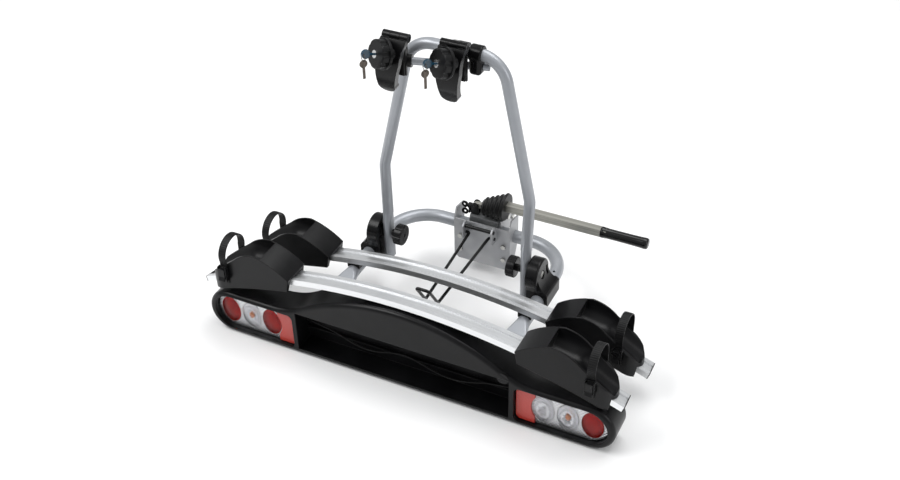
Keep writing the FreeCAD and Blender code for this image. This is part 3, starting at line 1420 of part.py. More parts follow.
def clamp_spare_key(knob):
    """The wire ring through the key's eye, with the spare key hanging from it."""
    eye = key_hole(knob)
    side = key_side()
    centre = eye.add(Vector(0, 0, -key_ring_r))
    level = Vector(clamp_vector().x, clamp_vector().y, 0).normalize()
    ring = Part.makeTorus(key_ring_r, 0.8, centre, level)
    low = centre.add(Vector(0, 0, -key_ring_r - 6.3))
    half = Vector(side).multiply(1.2)
    head = rod(low.sub(half), low.add(half), 9.5)
    hole_at = centre.add(Vector(0, 0, -key_ring_r + 0.2))
    hole = rod(hole_at.sub(Vector(side).multiply(3.0)), hole_at.add(Vector(side).multiply(3.0)), 1.4)
    blade = key_plate(low.add(Vector(0, 0, -22.0)), 15.0, 3.0, side, Vector(0, 0, 1), 2.4)
    return Part.makeCompound([ring, head.fuse(blade).cut(hole).removeSplitter()])


def build():
    pieces = {}
    pieces["coupling_head"] = coupling_head()
    pieces["coupling_side_plates"] = coupling_side_plates()
    pieces["coupling_bolts"] = coupling_bolts()
    pieces["lever_fork"] = lever_fork()
    pieces["coupling_lock"] = coupling_lock()
    pieces["coupling_key"] = coupling_key()
    pieces["lever_bar"] = lever_bar()
    pieces["lever_grip"] = lever_grip()
    pieces["lever_boot"] = lever_boot()
    pieces["base_tube"] = base_tube()
    pieces["flat_bolts"] = flat_bolts()
    pieces["coupling_bracket"] = bracket()
    pieces["bracket_bolts"] = bracket_bolts()
    pieces["latch_bar"] = latch_bar()
    pieces["tilt_pedal"] = tilt_pedal()
    pieces["hinge_bolts"] = hinge_bolts()
    pieces["bow_tube"] = bow_tube()
    for side, word in ((-1, "left"), (1, "right")):
        pieces["hinge_bracket_" + word] = hinge_bracket(side)
        pieces["fold_knob_" + word] = fold_knob(side)
    for index, place in ((0, "front"), (1, "rear")):
        pieces["rail_" + place] = rail(index)
        for side, word in ((-1, "left"), (1, "right")):
            name = place + "_" + word
            pieces["wheel_holder_" + name] = wheel_holder(index, side)
            pieces["wheel_strap_" + name] = wheel_strap(index, side)
            pieces["strap_buckle_" + name] = strap_buckle(index, side)
    pieces["rail_end_caps"] = rail_end_caps()
    pieces["rail_saddles"] = rail_saddles()
    pieces["light_board"] = light_board()
    pieces["lamp_trays"] = lamp_trays()
    pieces["side_reflectors"] = side_reflectors()
    pieces["red_lamps"] = lamps([(-1, 0), (-1, 2), (1, 0)])
    pieces["clear_lamps"] = lamps([(-1, 1), (1, 1), (1, 2)])
    pieces["board_cable"] = board_cable()
    pieces["arm_collar"] = arm_collar()
    pieces["arm_bar"] = arm_bar()
    pieces["near_clamp_base"] = near_clamp_base()
    pieces["far_clamp_base"] = far_clamp_base()
    pieces["near_clamp_pad"] = clamp_pad(near_x, near_plate_y, near_top_z)
    pieces["far_clamp_pad"] = clamp_pad(far_x, far_plate_y, far_top_z)
    pieces["near_clamp_jaw"] = jaw(near_x, near_y, near_top_z, near_lean, near_knob)
    pieces["far_clamp_jaw"] = jaw(far_x, far_y, far_top_z, far_lean, far_knob)
    for word, knob in (("near", near_knob), ("far", far_knob)):
        pieces[word + "_clamp_knob"] = clamp_knob(knob)
        pieces[word + "_clamp_lock"] = clamp_lock(knob)
        pieces[word + "_clamp_key"] = clamp_key(knob)
        pieces[word + "_spare_key"] = clamp_spare_key(knob)
    return pieces


os.makedirs("parts", exist_ok=True)
for name, shape in build().items():
    shape.translate(Vector(0, -ball_y, -ball_z))
    shape.exportStep("parts/" + name + ".step")
    box_now = shape.BoundBox
    print(name, len(shape.Solids), "solids", round(shape.Volume), "mm3",
          [round(v) for v in (box_now.XMin, box_now.XMax, box_now.YMin, box_now.YMax,
                              box_now.ZMin, box_now.ZMax)], "valid", shape.isValid())
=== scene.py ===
# %% [markdown]
# # A tow ball carrier for two bicycles
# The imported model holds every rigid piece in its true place. This lesson loads it, gives each
# piece the finish of the real one, and adds the pieces that a plain solid can't show well: the
# lamps, the rubber boot, the toothed wheel straps, the grip and the lamp lead.

import bpy
import numpy as np
from mathutils import Matrix, Vector


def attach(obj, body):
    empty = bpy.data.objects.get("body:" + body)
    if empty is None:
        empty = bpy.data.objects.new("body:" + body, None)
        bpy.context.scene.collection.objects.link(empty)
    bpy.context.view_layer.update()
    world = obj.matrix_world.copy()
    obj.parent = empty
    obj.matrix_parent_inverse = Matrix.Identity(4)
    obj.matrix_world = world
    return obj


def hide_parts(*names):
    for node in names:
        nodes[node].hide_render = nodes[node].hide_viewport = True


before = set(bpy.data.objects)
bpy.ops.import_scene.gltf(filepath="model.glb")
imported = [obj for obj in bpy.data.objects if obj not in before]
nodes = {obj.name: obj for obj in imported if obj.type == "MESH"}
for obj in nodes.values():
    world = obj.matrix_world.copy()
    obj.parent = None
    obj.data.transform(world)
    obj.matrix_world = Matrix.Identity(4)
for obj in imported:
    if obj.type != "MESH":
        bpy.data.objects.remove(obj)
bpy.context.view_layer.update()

# %% [markdown]
# The drawing of the carrier uses millimetres from a corner under the light board, and the packed
# model uses metres from the centre of the tow ball. One small helper turns the first into the
# second, so every size below can be read from the drawing.

# %% Drawing millimetres to model metres
BALL = np.array([0.0, 562.0, 128.0])
LAMP_X = 485.0
LAMP_PITCH = 60.0
LAMP_Y = 0.3
LAMP_Z = 63.0
LEVER_Y = 487.0
LEVER_Z = 219.0
RAIL_R = 1504.0


def place(points):
    """Model metres = (drawing millimetres - tow ball centre) / 1000."""
    return (np.asarray(points, float) - BALL) / 1000.0


print("outer lamp in the model:", place([LAMP_X, LAMP_Y, LAMP_Z]))

# %% [markdown]
# Every new piece is a surface worked out with numpy. A grid of points becomes a mesh when each
# point is joined to its right and upper neighbour. The grids here close on themselves round a
# section. Their two ends are closed by one fan of triangles each, or meet each other in a loop.

# %% Turn a grid of points into a closed mesh
def closed_grid(rings):
    """Faces between successive closed rings, and a fan to the middle point of each end ring."""
    rows, count = rings.shape[:2]
    points = rings.reshape(-1, 3)
    row, col = np.meshgrid(np.arange(rows - 1), np.arange(count), indexing="ij")
    nxt = (col + 1) % count
    quads = np.stack([row * count + col, row * count + nxt, (row + 1) * count + nxt,
                      (row + 1) * count + col], axis=-1).reshape(-1, 4)
    ends = np.array([rings[0].mean(axis=0), rings[-1].mean(axis=0)])
    first, last = rows * count, rows * count + 1
    around = np.arange(count)
    after = (around + 1) % count
    base = (rows - 1) * count
    low = np.stack([after, around, np.full(count, first)], axis=-1)
    high = np.stack([base + around, base + after, np.full(count, last)], axis=-1)
    return np.vstack([points, ends]), quads.tolist() + low.tolist() + high.tolist()


def loop_grid(rings):
    """Faces of a tube that closes on itself both ways."""
    rows, count = rings.shape[:2]
    row, col = np.meshgrid(np.arange(rows), np.arange(count), indexing="ij")
    down, right = (row + 1) % rows, (col + 1) % count
    quads = np.stack([row * count + col, row * count + right, down * count + right,
                      down * count + col], axis=-1).reshape(-1, 4)
    return rings.reshape(-1, 3), quads.tolist()


def add_piece(name, points, faces, body, sharp=40.0):
    """A mesh object at the origin, its normals outwards, smooth but for edges sharper than an angle."""
    mesh = bpy.data.meshes.new(name)
    mesh.from_pydata(np.asarray(points, float).tolist(), [], faces)
    mesh.validate()
    mesh.calc_loop_triangles()
    corners = np.empty(len(mesh.loop_triangles) * 3, np.int32)
    mesh.loop_triangles.foreach_get("vertices", corners)
    co = np.empty(len(mesh.vertices) * 3)
    mesh.vertices.foreach_get("co", co)
    tri = co.reshape(-1, 3)[corners].reshape(-1, 3, 3)
    volume = np.einsum("ij,ij->i", tri[:, 0], np.cross(tri[:, 1], tri[:, 2])).sum() / 6.0
    if volume < 0:
        mesh.flip_normals()
    mesh.polygons.foreach_set("use_smooth", np.ones(len(mesh.polygons), bool))
    mesh.set_sharp_from_angle(angle=np.radians(sharp))
    piece = bpy.data.objects.new(name, mesh)
    bpy.context.scene.collection.objects.link(piece)
    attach(piece, body)
    return piece


def join_grids(parts):
    """Several closed meshes as one list of points and faces."""
    points, faces, start = [], [], 0
    for some, these in parts:
        points.append(some)
        faces += [[index + start for index in face] for face in these]
        start += len(some)
    return np.vstack(points), faces


print("mesh helpers are ready")

# %% [markdown]
# A turned shape is a profile of radius and distance, carried round an axis. It serves for the
# lenses, the reflector bowls, the bulbs and the grip.

# %% Turned shapes
TURN_STEPS = 72


def turned(profile, centre, axis, steps=TURN_STEPS, wave=None):
    """Point = centre + along * axis + radius * (cos t * side + sin t * up); wave adds to the distance."""
    axis = np.asarray(axis, float) / np.linalg.norm(axis)
    side = np.cross(axis, [0.0, 0.0, 1.0])
    if np.linalg.norm(side) < 0.1:
        side = np.array([0.0, 1.0, 0.0])
    side /= np.linalg.norm(side)
    up = np.cross(side, axis)
    profile = np.asarray(profile, float)
    t = np.linspace(0.0, 2.0 * np.pi, steps, endpoint=False)
    radius = profile[:, 0][:, None]
    along = profile[:, 1][:, None] + (0.0 if wave is None else wave(radius, t[None, :]))
    along = np.broadcast_to(along, (len(profile), steps))
    out = radius[..., None] * (np.cos(t)[None, :, None] * side + np.sin(t)[None, :, None] * up)
    rings = np.asarray(centre, float) + along[..., None] * axis + out
    return closed_grid(place(rings))


print("a turned shape has", TURN_STEPS, "steps round it")

# %% [markdown]
# ## Finishes
# Two effects come back on many surfaces: the fine grain of a moulded plastic, and the brush marks
# of drawn or ground metal. Each is a node group, built once, with its scale and strength as inputs.

# %% Node group: moulded grain
def group_with(name, inputs, outputs):
    """A node group with its named number inputs and its named outputs."""
    tree = bpy.data.node_groups.new(name, "ShaderNodeTree")
    for label, value in inputs:
        socket = tree.interface.new_socket(label, in_out="INPUT", socket_type="NodeSocketFloat")
        socket.default_value = value
    for label, kind in outputs:
        tree.interface.new_socket(label, in_out="OUTPUT", socket_type=kind)
    return tree, tree.nodes.new("NodeGroupInput"), tree.nodes.new("NodeGroupOutput")


def moulded_grain_group():
    """Fine noise for the grain, broad noise for the shade, and a normal rounded over the edges."""
    tree, inlet, outlet = group_with(
        "Moulded grain", [("Scale", 900.0), ("Depth", 0.25), ("Rounding", 0.0012)],
        [("Normal", "NodeSocketVector"), ("Shade", "NodeSocketFloat")])
    coords = tree.nodes.new("ShaderNodeTexCoord")
    fine = tree.nodes.new("ShaderNodeTexNoise")
    broad = tree.nodes.new("ShaderNodeTexNoise")
    bump = tree.nodes.new("ShaderNodeBump")
    edge = tree.nodes.new("ShaderNodeBevel")
    edge.samples = 6
    broad.inputs["Scale"].default_value = 14.0
    fine.inputs["Detail"].default_value = 3.0
    bump.inputs["Distance"].default_value = 0.0004
    link = tree.links.new
    link(coords.outputs["Object"], fine.inputs["Vector"])
    link(coords.outputs["Object"], broad.inputs["Vector"])
    link(inlet.outputs["Scale"], fine.inputs["Scale"])
    link(inlet.outputs["Depth"], bump.inputs["Strength"])
    link(inlet.outputs["Rounding"], edge.inputs["Radius"])
    link(edge.outputs["Normal"], bump.inputs["Normal"])
    link(fine.outputs["Fac"], bump.inputs["Height"])
    link(bump.outputs["Normal"], outlet.inputs["Normal"])
    link(broad.outputs["Fac"], outlet.inputs["Shade"])
    return tree


grain_group = moulded_grain_group()
print("group:", grain_group.name)

# %% Node group: brush marks
def brush_marks_group():
    """Noise stretched along one axis. Arch unbends an arc first: flat z = z + arch * x^2."""
    tree, inlet, outlet = group_with(
        "Brush marks", [("Along", 6.0), ("Across", 900.0), ("Depth", 0.2), ("Arch", 0.0)],
        [("Normal", "NodeSocketVector"), ("Shade", "NodeSocketFloat")])
    coords = tree.nodes.new("ShaderNodeTexCoord")
    split = tree.nodes.new("ShaderNodeSeparateXYZ")
    square = tree.nodes.new("ShaderNodeMath")
    square.operation = "POWER"
    square.inputs[1].default_value = 2.0
    size = tree.nodes.new("ShaderNodeMath")
    size.operation = "ABSOLUTE"
    lift = tree.nodes.new("ShaderNodeMath")
    lift.operation = "MULTIPLY_ADD"
    flat = tree.nodes.new("ShaderNodeCombineXYZ")
    stretch = tree.nodes.new("ShaderNodeVectorMath")
    stretch.operation = "MULTIPLY"
    scales = tree.nodes.new("ShaderNodeCombineXYZ")
    streaks = tree.nodes.new("ShaderNodeTexNoise")
    streaks.inputs["Scale"].default_value = 1.0
    streaks.inputs["Detail"].default_value = 3.0
    bump = tree.nodes.new("ShaderNodeBump")
    bump.inputs["Distance"].default_value = 0.0003
    link = tree.links.new
    link(coords.outputs["Object"], split.inputs["Vector"])
    link(split.outputs["X"], size.inputs[0])
    link(size.outputs["Value"], square.inputs[0])
    link(square.outputs["Value"], lift.inputs[0])
    link(inlet.outputs["Arch"], lift.inputs[1])
    link(split.outputs["Z"], lift.inputs[2])
    link(split.outputs["X"], flat.inputs["X"])
    link(split.outputs["Y"], flat.inputs["Y"])
    link(lift.outputs["Value"], flat.inputs["Z"])
    link(inlet.outputs["Along"], scales.inputs["X"])
    link(inlet.outputs["Across"], scales.inputs["Y"])
    link(inlet.outputs["Across"], scales.inputs["Z"])
    link(flat.outputs["Vector"], stretch.inputs[0])
    link(scales.outputs["Vector"], stretch.inputs[1])
    link(stretch.outputs["Vector"], streaks.inputs["Vector"])
    link(streaks.outputs["Fac"], bump.inputs["Height"])
    link(inlet.outputs["Depth"], bump.inputs["Strength"])
    link(bump.outputs["Normal"], outlet.inputs["Normal"])
    link(streaks.outputs["Fac"], outlet.inputs["Shade"])
    return tree


brush_group = brush_marks_group()
print("group:", brush_group.name)

# %% [markdown]
# A finish is one shader with its steady values on its own sockets, and a group that varies the
# colour and the roughness a little. A colour ramp sets the two tones between which it varies.

# %% A finish from a group and two tones
def finish(name, group, settings, dark, light, rough, metallic=0.0, **steady):
    """Shade of the group -> colour ramp for the colour, map range for the roughness."""
    material = bpy.data.materials.new(name)
    material.use_nodes = True
    tree = material.node_tree
    shader = tree.nodes["Principled BSDF"]
    shader.inputs["Metallic"].default_value = metallic
    for label, value in steady.items():
        shader.inputs[label.replace("_", " ")].default_value = value
    source = tree.nodes.new("ShaderNodeGroup")
    source.node_tree = group
    for label, value in settings.items():
        source.inputs[label].default_value = value
    ramp = tree.nodes.new("ShaderNodeValToRGB")
    ramp.color_ramp.elements[0].position = 0.35
    ramp.color_ramp.elements[1].position = 0.65
    ramp.color_ramp.elements[0].color = (*dark, 1.0)
    ramp.color_ramp.elements[1].color = (*light, 1.0)
    spread = tree.nodes.new("ShaderNodeMapRange")
    spread.inputs["From Min"].default_value = 0.3
    spread.inputs["From Max"].default_value = 0.7
    spread.inputs["To Min"].default_value = rough[0]
    spread.inputs["To Max"].default_value = rough[1]
    tree.links.new(source.outputs["Shade"], ramp.inputs["Fac"])
    tree.links.new(source.outputs["Shade"], spread.inputs["Value"])
    tree.links.new(ramp.outputs["Color"], shader.inputs["Base Color"])
    tree.links.new(spread.outputs["Result"], shader.inputs["Roughness"])
    tree.links.new(source.outputs["Normal"], shader.inputs["Normal"])
    return material


def dress(material, *names):
    """The material on every slot of the named CAD nodes."""
    for name in names:
        mesh = nodes[name].data
        mesh.materials.clear()
        mesh.materials.append(material)


# %% [markdown]
# ### Plastics and rubber
# The light board and the wheel holders are large mouldings with a fine, slightly shiny grain. The
# knobs, jaws and hinge brackets are a smoother nylon. Grip, boot and pads are rubber.

# %% Plastics and rubber
moulding = finish("board_moulding", grain_group, {"Scale": 1500.0, "Depth": 0.12, "Rounding": 0.0026},
                  (0.0032, 0.0032, 0.0036), (0.0060, 0.0060, 0.0066), (0.28, 0.36), Specular_IOR_Level=0.20)
nylon = finish("smooth_nylon", grain_group, {"Scale": 700.0, "Depth": 0.08, "Rounding": 0.0016},
               (0.0030, 0.0030, 0.0033), (0.0060, 0.0060, 0.0065), (0.22, 0.32), Specular_IOR_Level=0.20)
strap_finish = finish("strap_polymer", grain_group, {"Scale": 1100.0, "Depth": 0.16, "Rounding": 0.0004},
                      (0.0030, 0.0030, 0.0032), (0.0060, 0.0060, 0.0064), (0.34, 0.46),
                      Specular_IOR_Level=0.20)
rubber = finish("boot_rubber", grain_group, {"Scale": 600.0, "Depth": 0.16, "Rounding": 0.0006},
                (0.0030, 0.0030, 0.0030), (0.0065, 0.0065, 0.0065), (0.38, 0.52), Specular_IOR_Level=0.26)
grip_finish = finish("grip_rubber_skin", grain_group, {"Scale": 500.0, "Depth": 0.05, "Rounding": 0.0006},
                     (0.0030, 0.0030, 0.0030), (0.0050, 0.0050, 0.0050), (0.16, 0.24),
                     Specular_IOR_Level=0.35)
dress(moulding, "light_board", *[n for n in nodes if n.startswith("wheel_holder_")])
dress(nylon, "arm_collar", "near_clamp_base", "far_clamp_base", "near_clamp_jaw", "far_clamp_jaw",
      "near_clamp_knob", "far_clamp_knob", "fold_knob_left", "fold_knob_right",
      "hinge_bracket_left", "hinge_bracket_right", "rail_end_caps", "rail_saddles", "coupling_lock",
      *[n for n in nodes if n.startswith("strap_buckle_")])
dress(rubber, "near_clamp_pad", "far_clamp_pad")
print("plastics:", moulding.name, nylon.name, rubber.name)

# %% [markdown]
# ### Metals
# The bow and the base tube wear silver-grey paint with fine metal flakes. The rails are drawn
# aluminium with marks along their length. The bracket and side plates are zinc plated sheet, the
# lever is a duller, yellowish plating, and the pedal wire is coated black.

# %% Metals
# An arc of radius R drops by x^2 / 2R, so this unbends the rails for their brush marks.
RAIL_ARCH = 1.0 / (2.0 * RAIL_R / 1000.0)
paint = finish("silver_tube_paint", grain_group, {"Scale": 2600.0, "Depth": 0.03, "Rounding": 0.001},
               (0.31, 0.325, 0.35), (0.35, 0.365, 0.39), (0.34, 0.40), metallic=0.35, Coat_Weight=0.15,
               Coat_Roughness=0.25)
drawn = finish("drawn_aluminium", brush_group,
               {"Along": 0.8, "Across": 120.0, "Depth": 0.0, "Arch": RAIL_ARCH},
               (0.80, 0.81, 0.82), (0.84, 0.85, 0.86), (0.32, 0.36), metallic=0.85)
zinc = finish("zinc_sheet", grain_group, {"Scale": 240.0, "Depth": 0.05, "Rounding": 0.0008},
              (0.34, 0.345, 0.36), (0.44, 0.445, 0.455), (0.40, 0.50), metallic=0.55)
bolts = finish("zinc_fasteners", grain_group, {"Scale": 500.0, "Depth": 0.05, "Rounding": 0.0005},
               (0.44, 0.44, 0.42), (0.60, 0.60, 0.57), (0.24, 0.34), metallic=0.85)
cast = finish("cast_coupling", grain_group, {"Scale": 420.0, "Depth": 0.25, "Rounding": 0.0012},
              (0.16, 0.165, 0.17), (0.24, 0.245, 0.25), (0.40, 0.5), metallic=0.5)
lever_plate = finish("lever_plating", brush_group, {"Along": 3.0, "Across": 260.0, "Depth": 0.03},
                     (0.34, 0.335, 0.30), (0.46, 0.45, 0.41), (0.28, 0.36), metallic=0.7)
coated = finish("coated_wire", grain_group, {"Scale": 800.0, "Depth": 0.06, "Rounding": 0.0004},
                (0.0030, 0.0030, 0.0030), (0.0055, 0.0055, 0.0058), (0.24, 0.34), Specular_IOR_Level=0.3)
chrome = finish("lock_polish", brush_group, {"Along": 40.0, "Across": 300.0, "Depth": 0.03},
                (0.70, 0.70, 0.70), (0.82, 0.82, 0.82), (0.10, 0.18), metallic=1.0)
key_metal = finish("key_nickel", brush_group, {"Along": 300.0, "Across": 60.0, "Depth": 0.05},
                   (0.060, 0.050, 0.042), (0.12, 0.10, 0.085), (0.26, 0.4), metallic=0.7)
teal = finish("key_head_teal", grain_group, {"Scale": 500.0, "Depth": 0.04, "Rounding": 0.001},
              (0.001, 0.018, 0.038), (0.002, 0.035, 0.065), (0.14, 0.24), Coat_Weight=0.3)
dress(paint, "base_tube", "bow_tube", "arm_bar")
dress(drawn, "rail_front", "rail_rear")
dress(zinc, "coupling_bracket", "coupling_side_plates")
dress(bolts, "flat_bolts", "bracket_bolts", "hinge_bolts", "coupling_bolts")
dress(cast, "coupling_head")
dress(lever_plate, "lever_bar")
dress(coated, "tilt_pedal", "latch_bar", "lever_fork", "coupling_key")
dress(chrome, "near_clamp_lock", "far_clamp_lock")
dress(key_metal, "near_spare_key", "far_spare_key")
dress(teal, "near_clamp_key", "far_clamp_key")
print("metals:", paint.name, drawn.name, zinc.name)

# %% [markdown]
# ## Lamps
# Each lamp unit holds three oval lamps. A real one is a clear or red cover over a silvered bowl
# with pressed facets. The cover here is a thin shell of glassy plastic and the bowl a turned shape
# whose depth ripples with the angle. Both are drawn out upwards, and two lamps have an amber bulb.

# %% Node group: pressed prisms
def prisms_group():
    """Two crossed waves as a height: the small square prisms on the inside of a lens; its Shade gives painted
    highlights on the prism tops and painted shade in the valleys.
    """
    tree, inlet, outlet = group_with("Pressed prisms", [("Scale", 900.0), ("Depth", 0.3)],
                                     [("Normal", "NodeSocketVector"), ("Shade", "NodeSocketFloat")])
    coords = tree.nodes.new("ShaderNodeTexCoord")
    split = tree.nodes.new("ShaderNodeSeparateXYZ")
    link = tree.links.new
    link(coords.outputs["Object"], split.inputs["Vector"])
    waves = []
    for axis in ("X", "Z"):
        scaled = tree.nodes.new("ShaderNodeMath")
        scaled.operation = "MULTIPLY"
        wave = tree.nodes.new("ShaderNodeMath")
        wave.operation = "SINE"
        link(split.outputs[axis], scaled.inputs[0])
        link(inlet.outputs["Scale"], scaled.inputs[1])
        link(scaled.outputs["Value"], wave.inputs[0])
        waves.append(wave)
    both = tree.nodes.new("ShaderNodeMath")
    both.operation = "MULTIPLY"
    level = tree.nodes.new("ShaderNodeMapRange")
    level.inputs["From Min"].default_value = -1.0
    bump = tree.nodes.new("ShaderNodeBump")
    bump.inputs["Distance"].default_value = 0.001
    link(waves[0].outputs["Value"], both.inputs[0])
    link(waves[1].outputs["Value"], both.inputs[1])
    link(both.outputs["Value"], level.inputs["Value"])
    link(level.outputs["Result"], bump.inputs["Height"])
    link(inlet.outputs["Depth"], bump.inputs["Strength"])
    link(bump.outputs["Normal"], outlet.inputs["Normal"])
    link(level.outputs["Result"], outlet.inputs["Shade"])
    return tree


prism_facet_shade_group = prisms_group()
print("group:", prism_facet_shade_group.name)

# %% Lamp finishes
# The prism Shade sets each lamp colour: painted highlights on the facet tops, painted shade in the valleys.
reflector_red = finish("reflector_red", prism_facet_shade_group, {"Scale": 1400.0, "Depth": 0.6},
                       (0.34, 0.014, 0.010), (0.62, 0.055, 0.035), (0.12, 0.24), Coat_Weight=0.6,
                       Coat_Roughness=0.06)
tray_silver = finish("tray_silvering", prism_facet_shade_group, {"Scale": 700.0, "Depth": 0.6},
                     (0.42, 0.43, 0.45), (0.78, 0.79, 0.81), (0.12, 0.24), metallic=0.9)
bowl_silver = finish("bowl_silvering", prism_facet_shade_group, {"Scale": 1100.0, "Depth": 0.9},
                     (0.42, 0.42, 0.44), (0.86, 0.86, 0.88), (0.06, 0.16), metallic=1.0)
amber = finish("bulb_amber", prism_facet_shade_group, {"Scale": 2000.0, "Depth": 0.2},
               (0.55, 0.13, 0.015), (0.75, 0.22, 0.03), (0.12, 0.2), Coat_Weight=0.5)


def glassy(name, dark, light, depth, rough):
    """A thin cover: light goes through it, tinted, and its face still shines."""
    material = finish(name, prism_facet_shade_group, {"Scale": 1100.0, "Depth": depth}, dark, light,
                      (rough, rough + 0.04))
    shader = material.node_tree.nodes["Principled BSDF"]
    shader.inputs["Transmission Weight"].default_value = 1.0
    shader.inputs["IOR"].default_value = 1.35
    return material


# The cover tints also carry painted facet highlights and painted shade from the prism pattern.
red_cover = glassy("red_cover", (0.46, 0.014, 0.010), (0.95, 0.09, 0.05), 0.45, 0.04)
clear_cover = glassy("clear_cover", (0.94, 0.95, 0.96), (0.98, 0.98, 0.99), 0.2, 0.02)
dress(reflector_red, "side_reflectors")
dress(tray_silver, "lamp_trays")
print("covers:", red_cover.name, clear_cover.name)

# %% Covers, bowls, rims and bulbs
LAMP_R = 28.0
LAMP_STRETCH = 1.42
LAMP_AXIS = (0.0, 1.0, 0.0)
COVER_R = LAMP_R - 0.4
COVER_INNER_R = LAMP_R - 2.0
COVER_BULGE = 7.4
COVER_FOOT = 1.7
BOWL_R = LAMP_R - 2.4
BOWL_STEPS = 96
BOWL_BACK = 1.9
BOWL_PETALS = 10
PETAL_RISE = 2.8
BEAD_R = 0.9
BULB_R = 6.5
BULB_REACH = 4.6
BULB_STEPS = 32


def lamp_centre(side, index):
    """Middle of a lamp in the drawing, counted from the outer one."""
    return np.array([side * (LAMP_X - LAMP_PITCH * index), LAMP_Y, LAMP_Z])


def cover(side, index):
    """Shell between two shallow domes: depth = bulge * (1 - (radius / rim)^2)."""
    share = np.linspace(0.02, 1.0, 14)
    outer = np.stack([share * COVER_R, -1.5 - COVER_BULGE * (1.0 - share ** 2)], axis=-1)
    inner = np.stack([share[::-1] * COVER_INNER_R, 0.2 - COVER_BULGE * (1.0 - share[::-1] ** 2)], axis=-1)
    rim = np.array([[COVER_R, COVER_FOOT], [COVER_INNER_R, COVER_FOOT]])
    return turned(np.vstack([outer, rim, inner]), lamp_centre(side, index), LAMP_AXIS)


def bowl(side, index, petals):
    """A shallow dish with petals: ripple = -rise * |sin(n t / 2)| * q * (1 - q^2), q = radius / rim."""
    def ripple(radius, t):
        q = radius / BOWL_R
        return -PETAL_RISE * np.abs(np.sin(petals * t / 2.0)) * q * (1.0 - q ** 2) * (radius > 1.0)
    share = np.linspace(0.02, 1.0, 12)
    face = np.stack([share * BOWL_R, 1.5 - 1.4 * share ** 2], axis=-1)
    back = np.array([[BOWL_R, BOWL_BACK], [0.5, BOWL_BACK]])
    return turned(np.vstack([face, back]), lamp_centre(side, index), LAMP_AXIS, BOWL_STEPS, ripple)


def rim_ring(side, index):
    """A small round bead: a circle of radius 0.9 mm carried round the lamp's edge."""
    bend = np.linspace(0.0, 2.0 * np.pi, 12, endpoint=False)
    around = np.linspace(0.0, 2.0 * np.pi, TURN_STEPS + 1)
    radius = LAMP_R + BEAD_R * np.cos(bend)[None, :] + 0.0 * around[:, None]
    depth = -0.5 + BEAD_R * np.sin(bend)[None, :] + 0.0 * around[:, None]
    x = radius * np.cos(around)[:, None]
    z = radius * np.sin(around)[:, None]
    rings = lamp_centre(side, index) + np.stack([x, depth, z], axis=-1)
    return loop_grid(place(rings[:-1]))


def bulb(side, index):
    """Half an egg on a short foot: radius = 6.5 * cos(t), length = 4.6 * sin(t)."""
    t = np.linspace(0.0, np.pi / 2.0 - 0.05, 9)
    egg = np.stack([BULB_R * np.cos(t), -0.2 - BULB_REACH * np.sin(t)], axis=-1)
    profile = np.vstack([[[BULB_R, 1.0]], egg])
    return turned(profile, lamp_centre(side, index), LAMP_AXIS, BULB_STEPS)


def build_lamps(name, places, shape, material, slot, *more):
    """The round shapes of all places, drawn out upwards to ovals: z = middle + stretch * (z - middle)."""
    points, faces = join_grids([shape(side, index, *more) for side, index in places])
    middle = place([0.0, 0.0, LAMP_Z])[2]
    points[:, 2] = middle + LAMP_STRETCH * (points[:, 2] - middle)
    piece = add_piece(name, points, faces, "platform")
    piece.data.materials.append(material)
    return piece


red_places = [(-1, 0), (-1, 2), (1, 0)]
clear_places = [(-1, 1), (1, 1), (1, 2)]
red_piece = build_lamps("red_covers", red_places, cover, red_cover, "lens_red")
clear_piece = build_lamps("clear_covers", clear_places, cover, clear_cover, "lens_clear")
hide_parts("red_lamps")
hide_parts("clear_lamps")
build_lamps("lamp_bowls", red_places + clear_places, bowl, bowl_silver, "tray_silver", BOWL_PETALS)
build_lamps("lamp_rims", red_places + clear_places, rim_ring, chrome, "tray_silver")
build_lamps("amber_bulbs", [(-1, 1), (1, 1)], bulb, amber, "lens_clear")
print("lamps:", len(red_places) + len(clear_places))

# %% [markdown]
# ## Rubber boot
# The boot over the lever's pivot is a soft bellows whose foot lies level on the coupling. It is a
# pile of rings that grow along the lever, and a rounded wave along the length makes the folds.

# %% The bellows
BOOT_START = -9.0
BOOT_LENGTH = 67.0
BOOT_SMALL_R = 24.0
BOOT_GROWTH = 16.0
BOOT_FOLDS = 5.0
BOOT_FOLD_DEPTH = 4.6
BOOT_FLOOR = 177.0
BOOT_LOWEST = 177.2


def bellows():
    """Ring radius = linear growth - fold depth * wave; every ring stands on the same floor."""
    s = np.linspace(0.0, 1.0, 109)
    base = BOOT_SMALL_R + BOOT_GROWTH * s
    wave = 0.5 + 0.5 * np.cos(2.0 * np.pi * BOOT_FOLDS * s)
    radius = base - BOOT_FOLD_DEPTH * wave ** 0.7
    t = np.linspace(0.0, 2.0 * np.pi, 64, endpoint=False)
    x = BOOT_START + BOOT_LENGTH * s
    sag = 0.5 * np.sin(3.0 * t)[None, :] * (1.0 - wave)[:, None]
    ring_y = LEVER_Y + (radius[:, None] + sag) * np.cos(t)[None, :]
    ring_z = BOOT_FLOOR + base[:, None] + (radius[:, None] + sag) * np.sin(t)[None, :]
    ring_x = np.broadcast_to(x[:, None], ring_y.shape)
    return closed_grid(place(np.stack([ring_x, ring_y, np.maximum(ring_z, BOOT_LOWEST)], axis=-1)))


boot = add_piece("boot_bellows", *bellows(), "lever", 60.0)
boot.data.materials.append(rubber)
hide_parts("lever_boot")
print("boot points:", len(boot.data.vertices))

# %% [markdown]
# ## Lever grip
# The grip is moulded over the end of the bar: a raised collar, a long waist and a rounded end.

